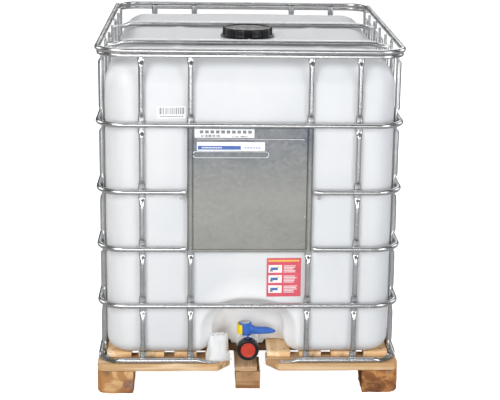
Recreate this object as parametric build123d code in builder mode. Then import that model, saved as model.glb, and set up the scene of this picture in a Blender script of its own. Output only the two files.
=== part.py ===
from build123d import *
import os

# Intermediate bulk container: blow-moulded bottle in a tubular steel cage on a wooden pallet.
# Millimetres. Origin at the centre of the footprint on the floor, +Z up, valve side towards -Y.

os.makedirs("parts", exist_ok=True)

# Overall size
width = 1000.0
depth = 1200.0
height = 1160.0

# Pallet
block_height = 79.0
cross_thick = 26.0
deck_thick = 19.0
cross_top = block_height + cross_thick
deck_top = cross_top + deck_thick
stringer_thick = 17.5
deck_board_spans = [(63.0, 143.0), (172.0, 247.0), (280.0, 366.0), (389.0, 471.8)]
deck_front = -540.0
deck_rear = 540.0
corner_block_x = 120.0
block_y = 140.0
centre_block_x = 84.0
centre_block_front = -563.0
front_board_y = 110.0
gap_half_front = 101.0
gap_half_rear = 60.0
gap_cut_depth = 55.0
corner_cut = 14.0

# Cage tubes
tube_r = 9.0
tube_wall = 1.0
ring_x = width / 2 - tube_r
ring_y = depth / 2 - tube_r
ring_corner = 82.0
ring_heights = [912.0, 691.0, 499.0, 305.0]
rail_z = height - tube_r
bottom_ring_z = cross_top + tube_r + 0.2
post_offset = 9.5
flat_half_width = 11.2
flat_half_thick = 4.6
flat_shift = -4.4
post_top = 1145.5
front_post_x = [-349.0, -192.5, 192.5, 349.0]
side_post_y = [-495.0, -330.0, -165.0, 0.0, 165.0, 330.0, 495.0]
plate_opening = 205.0
valve_opening = 135.0

# Rail stiffener, the flat bar welded under the rail at the front and the rear
stiff_height = 12.5
stiff_depth = 11.0
stiff_top = height - 2 * tube_r - 0.3
stiff_inset = 6.5

# Crossbars over the bottle and the fill cap between them
cap_y = -90.0
crossbar_reach = 215.0
crossbar_z = 1135.5

# Bottle
bottle_x = 470.0
bottle_y = 570.0
bottle_base = deck_top + 0.5
bottle_top = 1126.0
bottle_wall = 3.0
bottle_corner = 115.0
bottle_top_round = 100.0
bottle_base_round = 48.0
recess_half = 150.0
recess_spring = 220.0
recess_rise = 103.0
recess_back = -425.0

# Valve
valve_z = 135.5
stem_y = -505.0
bore_r = 25.0
body_r = 30.0
outlet_front = -560.0
outlet_cap_r = 36.7
hub_r = 21.5
hub_x = -9.0
hub_top = 218.0
lever_base = 175.5
lever_end = 94.0

# Fill cap
neck_r = 76.0
cap_r = 89.0
cap_flange_r = 94.0
cap_base = 1127.5
cap_top = 1158.0


def outline(half_x, half_y, corner, gap_half):
    """Closed rounded rectangle, or one with a gap in its front side when gap_half is over 0."""
    start = gap_half if gap_half > 0 else 0.0
    c45 = corner * (1 - 2**-0.5)
    Line((start, -half_y), (half_x - corner, -half_y))
    ThreePointArc((half_x - corner, -half_y), (half_x - c45, -half_y + c45), (half_x, -half_y + corner))
    Line((half_x, -half_y + corner), (half_x, half_y - corner))
    ThreePointArc((half_x, half_y - corner), (half_x - c45, half_y - c45), (half_x - corner, half_y))
    Line((half_x - corner, half_y), (-half_x + corner, half_y))
    ThreePointArc((-half_x + corner, half_y), (-half_x + c45, half_y - c45), (-half_x, half_y - corner))
    Line((-half_x, half_y - corner), (-half_x, -half_y + corner))
    ThreePointArc((-half_x, -half_y + corner), (-half_x + c45, -half_y + c45), (-half_x + corner, -half_y))
    Line((-half_x + corner, -half_y), (-start, -half_y))


def save(shape, label):
    """Name one finished piece and write its file."""
    shape.label = label
    export_step(shape, f"parts/{label}.step")


def bar(x0, x1, y0, y1, z0, z1):
    """Box between two corners, for use inside a part."""
    with Locations(((x0 + x1) / 2, (y0 + y1) / 2, (z0 + z1) / 2)):
        Box(x1 - x0, y1 - y0, z1 - z0)


# ---------------------------------------------------------------- wooden pallet

for side, sign in (("left", -1), ("right", 1)):
    with BuildPart() as front_board:
        with BuildSketch(Plane.XY.offset(block_height)):
            with BuildLine():
                Polyline(
                    (sign * (width / 2 - corner_cut), -depth / 2),
                    (sign * gap_half_front, -depth / 2),
                    (sign * gap_half_rear, -depth / 2 + gap_cut_depth),
                    (sign * gap_half_rear, -depth / 2 + front_board_y),
                    (sign * width / 2, -depth / 2 + front_board_y),
                    (sign * width / 2, -depth / 2 + corner_cut),
                    close=True,
                )
            make_face()
        extrude(amount=cross_thick)
        chamfer(front_board.edges().filter_by(Axis.X), 1.0)
    save(front_board.part, f"front_cross_board_{side}")

for name, y0, y1 in (
    ("valve_cross_board", -417.0, -317.0),
    ("middle_cross_board", -50.0, 50.0),
    ("rear_cross_board", 490.0, 600.0),
):
    with BuildPart() as cross_board:
        bar(-width / 2, width / 2, y0, y1, block_height, cross_top)
        chamfer(cross_board.edges().filter_by(Axis.X), 1.0)
    save(cross_board.part, name)

for number, (x0, x1) in enumerate(deck_board_spans, 1):
    for side, sign in (("left", -1), ("right", 1)):
        with BuildPart() as deck_board:
            low = min(sign * x0, sign * x1)
            bar(low, low + x1 - x0, deck_front, deck_rear, cross_top, deck_top)
            chamfer(deck_board.edges().filter_by(Axis.Y), 1.0)
        save(deck_board.part, f"deck_board_{side}_{number}")

for side, sign in (("left", -1), ("right", 1)):
    with BuildPart() as front_block:
        block_mid = sign * (width / 2 - corner_block_x / 2)
        with Locations((block_mid, -depth / 2 + block_y / 2, block_height / 2)):
            Box(corner_block_x, block_y, block_height)
        outer = front_block.faces().sort_by(Axis.X)[-1 if sign > 0 else 0]
        chamfer(outer.edges().filter_by(Axis.Z).sort_by(Axis.Y)[0], corner_cut)
        outer = front_block.faces().sort_by(Axis.X)[-1 if sign > 0 else 0]
        chamfer(outer.edges().sort_by(Axis.Z)[0], 9.0)
    save(front_block.part, f"front_block_{side}")

with BuildPart() as front_block_centre:
    bar(
        -centre_block_x / 2,
        centre_block_x / 2,
        centre_block_front,
        centre_block_front + block_y,
        0,
        block_height - stringer_thick,
    )
    chamfer(front_block_centre.edges().filter_by(Axis.Z), 2.0)
save(front_block_centre.part, "front_block_centre")

for name, y_mid in (("middle_blocks", 0.0), ("rear_blocks", depth / 2 - block_y / 2)):
    with BuildPart() as block_row:
        for x_mid in (-(width - corner_block_x) / 2, (width - corner_block_x) / 2):
            with Locations((x_mid, y_mid, block_height / 2)):
                Box(corner_block_x, block_y, block_height)
        with Locations((0, y_mid, (block_height - stringer_thick) / 2)):
            Box(centre_block_x, block_y, block_height - stringer_thick)
        chamfer(block_row.edges().filter_by(Axis.Z), 2.0)
    save(block_row.part, name)

with BuildPart() as centre_stringer:
    bar(-45.0, 32.0, centre_block_front, depth / 2, block_height - stringer_thick, block_height)
    chamfer(centre_stringer.edges().filter_by(Axis.Y), 1.0)
save(centre_stringer.part, "centre_stringer")

with BuildPart() as deck_nails:
    for x0, x1 in deck_board_spans:
        for sign in (-1, 1):
            for y_nail in (-515.0, -367.0, 0.0, 515.0):
                for step in (-0.25, 0.25):
                    x_nail = sign * ((x0 + x1) / 2 + step * (x1 - x0))
                    with Locations((x_nail, y_nail, deck_top + 0.2)):
                        Cylinder(3.2, 0.4, align=(Align.CENTER, Align.CENTER, Align.CENTER))
save(deck_nails.part, "deck_nails")

# ---------------------------------------------------------------- steel cage


def tube_ring(z, gap_half, radius=tube_r):
    """Hollow tube bent round the cage at one height."""
    with BuildPart() as ring:
        with BuildLine(Plane.XY.offset(z)) as path:
            outline(ring_x, ring_y, ring_corner, gap_half)
        start = (gap_half if gap_half > 0 else 0.0, -ring_y, z)
        with BuildSketch(Plane(origin=start, x_dir=(0, 1, 0), z_dir=(1, 0, 0))):
            Circle(radius)
            Circle(radius - tube_wall, mode=Mode.SUBTRACT)
        sweep(path=path.wires()[0])
    return ring.part


save(tube_ring(rail_z, 0.0), "top_rail")
save(tube_ring(ring_heights[0], 0.0), "cage_ring_1")
save(tube_ring(ring_heights[1], plate_opening), "cage_ring_2")
save(tube_ring(ring_heights[2], plate_opening), "cage_ring_3")
save(tube_ring(ring_heights[3], 0.0), "cage_ring_4")

with BuildPart() as bottom_ring:
    add(tube_ring(bottom_ring_z, valve_opening))
    for sign in (-1, 1):
        with BuildSketch(Plane(origin=(sign * (valve_opening + 0.5), -ring_y, bottom_ring_z), z_dir=(-sign, 0, 0))):
            Circle(tube_r)
        with BuildSketch(Plane(origin=(sign * (valve_opening - 14), -ring_y, cross_top + 2.2), z_dir=(-sign, 0, 0))):
            Rectangle(4.0, 17.6)
        loft()
        bar(
            min(sign * 104, sign * 121.5),
            max(sign * 104, sign * 121.5),
            -ring_y - 8.8,
            -ring_y + 8.8,
            cross_top + 0.2,
            cross_top + 4.2,
        )
save(bottom_ring.part, "bottom_ring")

with BuildPart() as bottom_ring_screws:
    for sign in (-1, 1):
        with Locations((sign * 113.0, -ring_y, cross_top + 5.7)):
            Cylinder(5.5, 3.0)
        for y_screw in (-ring_y + 21.5, ring_y - 21.5):
            with Locations((sign * (ring_x - 24.5), y_screw, bottom_ring_z + tube_r + 1.5)):
                Cylinder(6.0, 2.4)
save(bottom_ring_screws.part, "bottom_ring_screws")

for name, sign in (("rail_stiffener_front", -1), ("rail_stiffener_rear", 1)):
    with BuildPart() as stiffener:
        stiff_x = width / 2 - stiff_inset - stiff_depth / 2
        stiff_y = depth / 2 - stiff_inset - stiff_depth / 2
        bend = ring_corner - 3.0
        mid = bend * (1 - 2**-0.5)
        with BuildLine(Plane.XY.offset(stiff_top - stiff_height / 2)) as stiff_path:
            Line((-stiff_x, sign * (stiff_y - bend - 6)), (-stiff_x, sign * (stiff_y - bend)))
            ThreePointArc(
                (-stiff_x, sign * (stiff_y - bend)),
                (-stiff_x + mid, sign * (stiff_y - mid)),
                (-stiff_x + bend, sign * stiff_y),
            )
            Line((-stiff_x + bend, sign * stiff_y), (stiff_x - bend, sign * stiff_y))
            ThreePointArc(
                (stiff_x - bend, sign * stiff_y),
                (stiff_x - mid, sign * (stiff_y - mid)),
                (stiff_x, sign * (stiff_y - bend)),
            )
            Line((stiff_x, sign * (stiff_y - bend)), (stiff_x, sign * (stiff_y - bend - 6)))
        start = (-stiff_x, sign * (stiff_y - bend - 6), stiff_top - stiff_height / 2)
        with BuildSketch(Plane(origin=start, x_dir=(1, 0, 0), z_dir=(0, sign, 0))):
            RectangleRounded(stiff_depth, stiff_height, 4.5)
        sweep(path=stiff_path.wires()[0])
    save(stiffener.part, name)


def post_sections(low, high, wall):
    """Heights, half widths, half thicknesses and shifts along one post skin, pressed flat at each ring."""
    round_to_flat = [(40.0, 0.0), (34.0, 0.2), (28.0, 0.75), (23.0, 1.0)]
    stations = [(low, 1.0)]
    stations += [(bottom_ring_z + step, press) for step, press in reversed(round_to_flat)]
    for z_ring in sorted(ring_heights):
        stations += [(z_ring - step, press) for step, press in round_to_flat]
        stations += [(z_ring + step, press) for step, press in reversed(round_to_flat)]
    stations += [(rail_z - 9 - step, press) for step, press in round_to_flat]
    stations.append((high, 1.0))
    sections = []
    for z, press in stations:
        half_width = tube_r + press * (flat_half_width - tube_r) + 0.02 - wall
        half_thick = tube_r + press * (flat_half_thick - tube_r) - wall
        sections.append((z, half_width, half_thick, press * flat_shift))
    return sections


def post_skin(x, y, out_x, out_y, wall):
    """Solid inside one skin of an upright; the inner skin reaches past both ends."""
    reach = 0.5 if wall else 0.0
    with BuildPart() as skin:
        for z, half_width, half_thick, shift in post_sections(cross_top + 0.5 - reach, post_top + reach, wall):
            with BuildSketch(Plane(origin=(x + shift * out_x, y + shift * out_y, z))):
                if out_x:
                    Ellipse(half_width, half_thick, rotation=90)
                else:
                    Ellipse(half_width, half_thick)
        loft(ruled=True)
    return skin.part


def posts(places):
    """Upright tubes at (x, y, outward direction) places, each pressed flat where a ring crosses it."""
    with BuildPart() as group:
        for x, y, out_x, out_y in places:
            add(post_skin(x, y, out_x, out_y, 0.0) - post_skin(x, y, out_x, out_y, 1.2))
    return group.part


post_x = ring_x - post_offset
post_y = ring_y - post_offset
save(posts([(x, -post_y, 0, -1) for x in front_post_x]), "cage_posts_front")
save(posts([(x, post_y, 0, 1) for x in front_post_x]), "cage_posts_rear")
save(posts([(-post_x, y, -1, 0) for y in side_post_y]), "cage_posts_left")
save(posts([(post_x, y, 1, 0) for y in side_post_y]), "cage_posts_right")

crossbar_drop = 9.0
crossbar_straight = 408.0
crossbar_bend = [(crossbar_straight, 0.0), (424.0, 2.0), (436.0, 7.0), (451.5, crossbar_drop)]
for name, y_bar in (("crossbar_front", cap_y - crossbar_reach), ("crossbar_rear", cap_y + crossbar_reach)):
    end_z = crossbar_z - crossbar_drop
    middle_start = Plane(origin=(-crossbar_straight, y_bar, crossbar_z), z_dir=(1, 0, 0))
    with BuildPart() as crossbar:
        with BuildSketch(middle_start):
            Circle(tube_r)
        extrude(amount=2 * crossbar_straight)
        with BuildSketch(middle_start):
            Circle(tube_r - tube_wall)
        extrude(amount=2 * crossbar_straight, mode=Mode.SUBTRACT)
        for sign in (-1, 1):
            for (xa, da), (xb, db) in zip(crossbar_bend, crossbar_bend[1:]):
                with BuildPart(mode=Mode.PRIVATE) as span:
                    for x_cut, drop in ((xa, da), (xb, db)):
                        spot = (sign * x_cut, y_bar, crossbar_z - drop)
                        with BuildSketch(Plane(origin=spot, x_dir=(0, 1, 0), z_dir=(1, 0, 0))):
                            Circle(tube_r)
                    loft(ruled=True)
                add(span.part)
            with BuildPart(mode=Mode.PRIVATE) as flattened:
                with BuildSketch(Plane(origin=(sign * 451.5, y_bar, end_z), x_dir=(0, 1, 0), z_dir=(1, 0, 0))):
                    Circle(tube_r)
                with BuildSketch(Plane(origin=(sign * 470.0, y_bar, end_z), x_dir=(0, 1, 0), z_dir=(1, 0, 0))):
                    Rectangle(22.0, 5.0)
                loft()
            add(flattened.part)
            foot = min(sign * 469.0, sign * 479.0)
            bar(foot, foot + 10.0, y_bar - 10.6, y_bar + 10.6, end_z - 2.2, end_z + 2.2)
            bracket = min(sign * 478.1, sign * 481.6)
            bar(bracket, bracket + 3.5, y_bar - 11, y_bar + 11, end_z - 2.5, rail_z + 4)
        with Locations((300.0, y_bar, crossbar_z - 6.5)):
            Cylinder(2.0, 8.0, mode=Mode.SUBTRACT)
    save(crossbar.part, name)

with BuildPart() as crossbar_screws:
    for y_bar in (cap_y - crossbar_reach, cap_y + crossbar_reach):
        for sign in (-1, 1):
            with Locations(Plane(origin=(sign * 476.2, y_bar, 1143.0), z_dir=(sign, 0, 0))):
                Cylinder(6.0, 3.2)
save(crossbar_screws.part, "crossbar_screws")

# ---------------------------------------------------------------- label plate

plate_y = -584.0
plate_low = 488.5
plate_high = 902.0
wrap_x = 192.5
with BuildPart() as label_plate:
    bar(-(wrap_x - 9.0), wrap_x - 9.0, plate_y - 0.8, plate_y, plate_low + 4.0, plate_high)
    for sign in (-1, 1):
        with BuildSketch(Plane.XY.offset(plate_low + 10.0)):
            with Locations((sign * wrap_x, -post_y)):
                Circle(10.4)
                Circle(9.5, mode=Mode.SUBTRACT)
            with Locations((sign * (wrap_x + 20), -post_y + 19.2)):
                Rectangle(40.0, 40.0, mode=Mode.SUBTRACT)
            with Locations((sign * (wrap_x - 20), -post_y + 17.8)):
                Rectangle(40.0, 40.0, mode=Mode.SUBTRACT)
        extrude(amount=plate_high - plate_low - 10.0)
    with Locations(Plane(origin=(0, plate_y - 1.2, 867.0), z_dir=(1, 0, 0))):
        Cylinder(1.7, 362.0)
    with Locations(Plane(origin=(0, plate_y - 3.2, plate_low + 4.5), z_dir=(1, 0, 0))):
        Cylinder(4.5, 372.0)
    with BuildSketch(Plane.XZ.offset(-plate_y + 0.4)):
        with Locations((-63.0, 815.0)):
            SlotOverall(240.0, 21.0)
            SlotOverall(235.0, 16.0, mode=Mode.SUBTRACT)
    extrude(amount=1.6)
save(label_plate.part, "label_plate")

with BuildPart() as plate_hooks:
    for sign in (-1, 1):
        with Locations((sign * 179.4, plate_y - 3.2, 611.0)):
            Box(6.0, 4.0, 10.0)
        with Locations((sign * 222.5, -ring_y - 2.0, ring_heights[1] - tube_r - 7.2)):
            Box(10.0, 2.0, 14.0)
save(plate_hooks.part, "plate_hooks")

for name, x0, x1, z0, z1, face in (
    ("plate_serial_label", -179.0, 12.0, 871.0, 899.0, plate_y - 0.85),
    ("plate_pocket_label", -173.0, 46.0, 827.0, 857.0, plate_y - 0.85),
    ("bottle_barcode_label", -299.0, -207.0, 931.0, 970.0, -bottle_y - 0.05),
    ("bottle_instruction_label", 58.0, 171.0, 331.0, 464.0, -bottle_y - 0.05),
):
    with BuildPart() as label_sheet:
        bar(x0, x1, face - 0.3, face, z0, z1)
    save(label_sheet.part, name)

# ---------------------------------------------------------------- bottle


def bottle_shape(inset):
    """Outer or inner skin of the bottle as a solid; inset is measured inwards."""
    with BuildPart() as skin:
        bar(
            -bottle_x + inset,
            bottle_x - inset,
            -bottle_y + inset,
            bottle_y - inset,
            bottle_base + inset,
            bottle_top - inset,
        )
        fillet(skin.edges().filter_by(Axis.Z), bottle_corner - inset)
        fillet(skin.faces().sort_by(Axis.Z)[-1].edges(), bottle_top_round - inset)
        fillet(skin.faces().sort_by(Axis.Z)[0].edges(), bottle_base_round - inset)
        with BuildPart(mode=Mode.SUBTRACT):
            with BuildSketch(Plane.XZ.offset(620)):
                with Locations((0, recess_spring)):
                    Ellipse(recess_half + inset, recess_rise + inset)
                with Locations((0, recess_spring / 2)):
                    Rectangle(2 * (recess_half + inset), recess_spring)
            extrude(amount=-(620 + recess_back + inset))
            with BuildSketch(Plane.XY):
                with Locations((0, -620.0)):
                    RectangleRounded(
                        2 * (recess_half + inset) + 2.0,
                        2 * (620.0 + recess_back + inset),
                        70.0 + inset,
                    )
            extrude(amount=400.0, mode=Mode.INTERSECT)
        sump_floor = cross_top + 2.0 + inset
        bar(-55.0 + inset, 55.0 - inset, recess_back + inset, -260.0 - inset, sump_floor, 230.0 - inset)
    return skin.part


with BuildPart() as bottle:
    add(bottle_shape(0.0))
    with Locations((0, cap_y, bottle_top + 8)):
        Cylinder(neck_r, 24.0)
    with Locations(Plane(origin=(0, recess_back - 12, valve_z), z_dir=(0, 1, 0))):
        Cylinder(31.0, 30.0)
    add(bottle_shape(bottle_wall), mode=Mode.SUBTRACT)
    with Locations((0, cap_y, bottle_top)):
        Cylinder(neck_r - 6.0, 60.0, mode=Mode.SUBTRACT)
    with Locations(Plane(origin=(0, recess_back - 10, valve_z), z_dir=(0, 1, 0))):
        Cylinder(bore_r, 60.0, mode=Mode.SUBTRACT)
save(bottle.part, "bottle")

# ---------------------------------------------------------------- fill cap

with BuildPart() as fill_cap:
    with Locations((0, cap_y, (cap_base + cap_top) / 2)):
        Cylinder(cap_r - 4, cap_top - cap_base)
    with Locations((0, cap_y, cap_base + 2.0)):
        Cylinder(cap_flange_r, 4.0)
    with Locations((0, cap_y, 0)):
        with PolarLocations(cap_r - 4.0, 16):
            with Locations((0, 0, (cap_base + cap_top) / 2 - 1)):
                Box(9.0, 9.0, cap_top - cap_base - 2)
    fillet(fill_cap.faces().sort_by(Axis.Z)[-1].edges(), 1.5)
    with Locations((0, cap_y, cap_top)):
        Cylinder(cap_r - 12, 5.0, mode=Mode.SUBTRACT)
    with Locations((0, cap_y, (cap_base + cap_top - 6) / 2)):
        Cylinder(neck_r + 0.8, cap_top - cap_base - 6, mode=Mode.SUBTRACT)
save(fill_cap.part, "fill_cap")

with BuildPart() as fill_cap_gasket:
    with Locations((0, cap_y, 1150.5)):
        Cylinder(neck_r - 0.5, 2.4)
        Cylinder(neck_r - 7.0, 2.4, mode=Mode.SUBTRACT)
save(fill_cap_gasket.part, "fill_cap_gasket")

with BuildPart() as fill_cap_seal_tab:
    bar(0.5, 7.5, cap_y - 120.0, cap_y - 95.5, bottle_top + 0.4, bottle_top + 3.4)
    fillet(fill_cap_seal_tab.edges().filter_by(Axis.Z), 2.0)
save(fill_cap_seal_tab.part, "fill_cap_seal_tab")

# ---------------------------------------------------------------- outlet valve

axis_plane = Plane(origin=(0, 0, valve_z), x_dir=(1, 0, 0), z_dir=(0, -1, 0))


def disc_along(y0, y1, radius, mode=Mode.ADD):
    """Cylinder about the valve axis between two stations."""
    with Locations(axis_plane.offset(-(y0 + y1) / 2)):
        Cylinder(radius, abs(y1 - y0), mode=mode)


with BuildPart() as valve_gasket:
    disc_along(-453.5, -456.5, 31.0)
    disc_along(-453.5, -456.5, bore_r, Mode.SUBTRACT)
save(valve_gasket.part, "valve_gasket")

with BuildPart() as valve_union_nut:
    disc_along(-431.0, -466.0, 38.5)
    with Locations(axis_plane.offset(448.5)):
        with PolarLocations(38.0, 12):
            Box(4.0, 6.0, 35.0)
    disc_along(-430.0, -460.5, 31.6, Mode.SUBTRACT)
    disc_along(-460.0, -467.0, body_r + 0.6, Mode.SUBTRACT)
save(valve_union_nut.part, "valve_union_nut")

with BuildPart() as valve_body:
    disc_along(-457.0, -548.0, body_r)
    disc_along(-457.0, -460.2, 31.2)
    disc_along(stem_y - 18, stem_y + 18, body_r + 3.0)
    with Locations((0, stem_y, valve_z + 21)):
        Cylinder(13.0, 30.0)
    for y_thread in (-533.0, -539.0, -545.0):
        disc_along(y_thread - 1.2, y_thread + 1.2, body_r + 0.9)
    disc_along(-450.0, -560.0, bore_r, Mode.SUBTRACT)
    with Locations((0, stem_y, valve_z + 21)):
        Cylinder(6.05, 60.0, mode=Mode.SUBTRACT)
    with Locations((0, stem_y, valve_z - 27.0)):
        Cylinder(6.05, 6.0, mode=Mode.SUBTRACT)
save(valve_body.part, "valve_body")

with BuildPart() as valve_stem:
    with Locations((0, stem_y, (valve_z - 28.5 + hub_top - 8) / 2)):
        Cylinder(6.0, hub_top - 8 - valve_z + 28.5)
    with BuildPart(mode=Mode.SUBTRACT):
        with Locations((0, stem_y, valve_z)):
            Box(20.0, 3.4, 49.0)
save(valve_stem.part, "valve_stem")

with BuildPart() as valve_disc:
    disc_along(stem_y - 1.6, stem_y + 1.6, bore_r - 0.7)
    for sign in (-1, 1):
        with Locations((0, stem_y, valve_z + sign * 24.6)):
            Box(20.0, 8.0, 1.2, mode=Mode.SUBTRACT)
save(valve_disc.part, "valve_disc")

with BuildPart() as stem_seal:
    with Locations((0, stem_y, valve_z + 37.2)):
        Cylinder(9.5, 1.8)
        Cylinder(6.3, 1.8, mode=Mode.SUBTRACT)
save(stem_seal.part, "stem_seal")

with BuildPart() as valve_handle:
    with BuildSketch(Plane.XY.offset(lever_base)):
        with Locations((hub_x, stem_y)):
            Circle(hub_r)
    extrude(amount=hub_top - lever_base)
    with BuildSketch(Plane.XZ.offset(-stem_y - 10)):
        with BuildLine():
            Polyline(
                (hub_x, lever_base),
                (lever_end - 16, lever_base),
                (lever_end, lever_base + 9),
                (lever_end - 4, lever_base + 14),
                (lever_end - 22, lever_base + 24),
                (28.0, lever_base + 24),
                (8.0, hub_top - 4),
                (hub_x, hub_top - 4),
                close=True,
            )
        make_face()
    extrude(amount=20.0)
    with Locations((0, stem_y, lever_base + 12)):
        Cylinder(6.05, 60.0, mode=Mode.SUBTRACT)
    with Locations((0, stem_y, lever_base)):
        Cylinder(14.0, 3.0, mode=Mode.SUBTRACT)
    with Locations((hub_x, stem_y, hub_top)):
        Cylinder(18.5, 1.6, mode=Mode.SUBTRACT)
save(valve_handle.part, "valve_handle")

with BuildPart() as handle_badge:
    with Locations((hub_x, stem_y, hub_top - 0.3)):
        Cylinder(18.0, 0.6)
save(handle_badge.part, "handle_badge")

with BuildPart() as safety_clip:
    with BuildSketch(Plane.XY.offset(lever_base + 5)):
        with Locations((hub_x, stem_y)):
            Circle(hub_r + 6.0)
            Circle(hub_r + 0.5, mode=Mode.SUBTRACT)
        with Locations((hub_x + 20, stem_y)):
            Rectangle(60.0, 80.0, mode=Mode.SUBTRACT)
    extrude(amount=32.0)
    with Locations((hub_x - hub_r - 3.0, stem_y, lever_base + 4.2)):
        Box(5.0, 10.0, 5.0)
save(safety_clip.part, "safety_clip")

with BuildPart() as outlet_cap:
    disc_along(-527.0, outlet_front, outlet_cap_r - 1.8)
    with Locations(axis_plane.offset(543.5)):
        with PolarLocations(outlet_cap_r - 2.0, 24):
            Box(4.0, 4.2, 33.0)
    disc_along(-526.0, -553.0, body_r + 1.3, Mode.SUBTRACT)
    disc_along(-550.0, outlet_front - 1, 25.5, Mode.SUBTRACT)
save(outlet_cap.part, "outlet_cap")

with BuildPart() as outlet_cap_disc:
    disc_along(-552.8, outlet_front + 1.2, 25.2)
    disc_along(-551.1, -552.8, 30.5)
save(outlet_cap_disc.part, "outlet_cap_disc")

with BuildPart() as outlet_cap_gasket:
    disc_along(-548.3, -550.9, 30.0)
    disc_along(-548.3, -550.9, 25.0, Mode.SUBTRACT)
save(outlet_cap_gasket.part, "outlet_cap_gasket")

with BuildPart() as handle_seal_strip:
    bar(-3.5, 2.5, -549.0, -527.0, valve_z + outlet_cap_r + 0.4, lever_base - 0.6)
save(handle_seal_strip.part, "handle_seal_strip")

# ---------------------------------------------------------------- accessory bag

with BuildPart() as accessory_bag:
    bar(-140.0, -62.0, -578.0, -500.0, deck_top + 1.2, 182.0)
    fillet(accessory_bag.edges().filter_by(Axis.Z), 24.0)
    fillet(accessory_bag.faces().sort_by(Axis.Z)[-1].edges(), 18.0)
    bar(-128.0, -66.0, -576.0, -543.0, cross_top + 0.8, deck_top + 8.0)
save(accessory_bag.part, "accessory_bag")
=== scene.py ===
import math
import random

import bmesh
import bpy
from mathutils import Matrix, Vector, noise


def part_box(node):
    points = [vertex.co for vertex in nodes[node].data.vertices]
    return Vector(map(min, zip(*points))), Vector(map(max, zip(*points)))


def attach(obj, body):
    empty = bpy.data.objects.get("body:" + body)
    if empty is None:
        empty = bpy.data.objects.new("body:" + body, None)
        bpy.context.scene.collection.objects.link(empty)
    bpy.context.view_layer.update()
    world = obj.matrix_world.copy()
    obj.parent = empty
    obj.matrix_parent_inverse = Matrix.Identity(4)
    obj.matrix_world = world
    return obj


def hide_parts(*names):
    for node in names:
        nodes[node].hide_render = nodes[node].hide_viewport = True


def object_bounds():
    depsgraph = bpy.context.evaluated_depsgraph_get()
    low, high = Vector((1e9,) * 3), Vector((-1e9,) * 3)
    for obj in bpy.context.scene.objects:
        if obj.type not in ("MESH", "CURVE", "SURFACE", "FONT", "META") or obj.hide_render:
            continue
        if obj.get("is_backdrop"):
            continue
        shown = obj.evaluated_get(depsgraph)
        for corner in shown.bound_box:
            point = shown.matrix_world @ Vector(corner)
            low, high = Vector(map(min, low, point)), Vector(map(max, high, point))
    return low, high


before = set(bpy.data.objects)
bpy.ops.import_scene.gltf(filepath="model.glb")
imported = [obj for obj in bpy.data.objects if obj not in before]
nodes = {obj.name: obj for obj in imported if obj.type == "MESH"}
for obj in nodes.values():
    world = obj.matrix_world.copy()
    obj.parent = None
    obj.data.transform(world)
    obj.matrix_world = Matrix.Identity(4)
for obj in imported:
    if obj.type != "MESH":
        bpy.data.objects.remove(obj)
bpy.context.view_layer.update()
scene = bpy.context.scene

# ------------------------------------------------------------------ sizes, metres

TUBE = 0.009
RING_X = 0.491
RING_Y = 0.591
RING_CORNER = 0.082
RINGS = (0.912, 0.691, 0.499, 0.305)
RAIL_Z = 1.151
BOTTOM_RING_Z = 0.1142
POST_X = 0.4815
POST_Y = 0.5815
FRONT_POSTS = (-0.349, -0.1925, 0.1925, 0.349)
SIDE_POSTS = (-0.495, -0.330, -0.165, 0.0, 0.165, 0.330, 0.495)
CROSS_TOP = 0.105
CAP_Y = -0.090
VALVE_Z = 0.1355
STEM_Y = -0.505


# ------------------------------------------------------------------ materials

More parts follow.
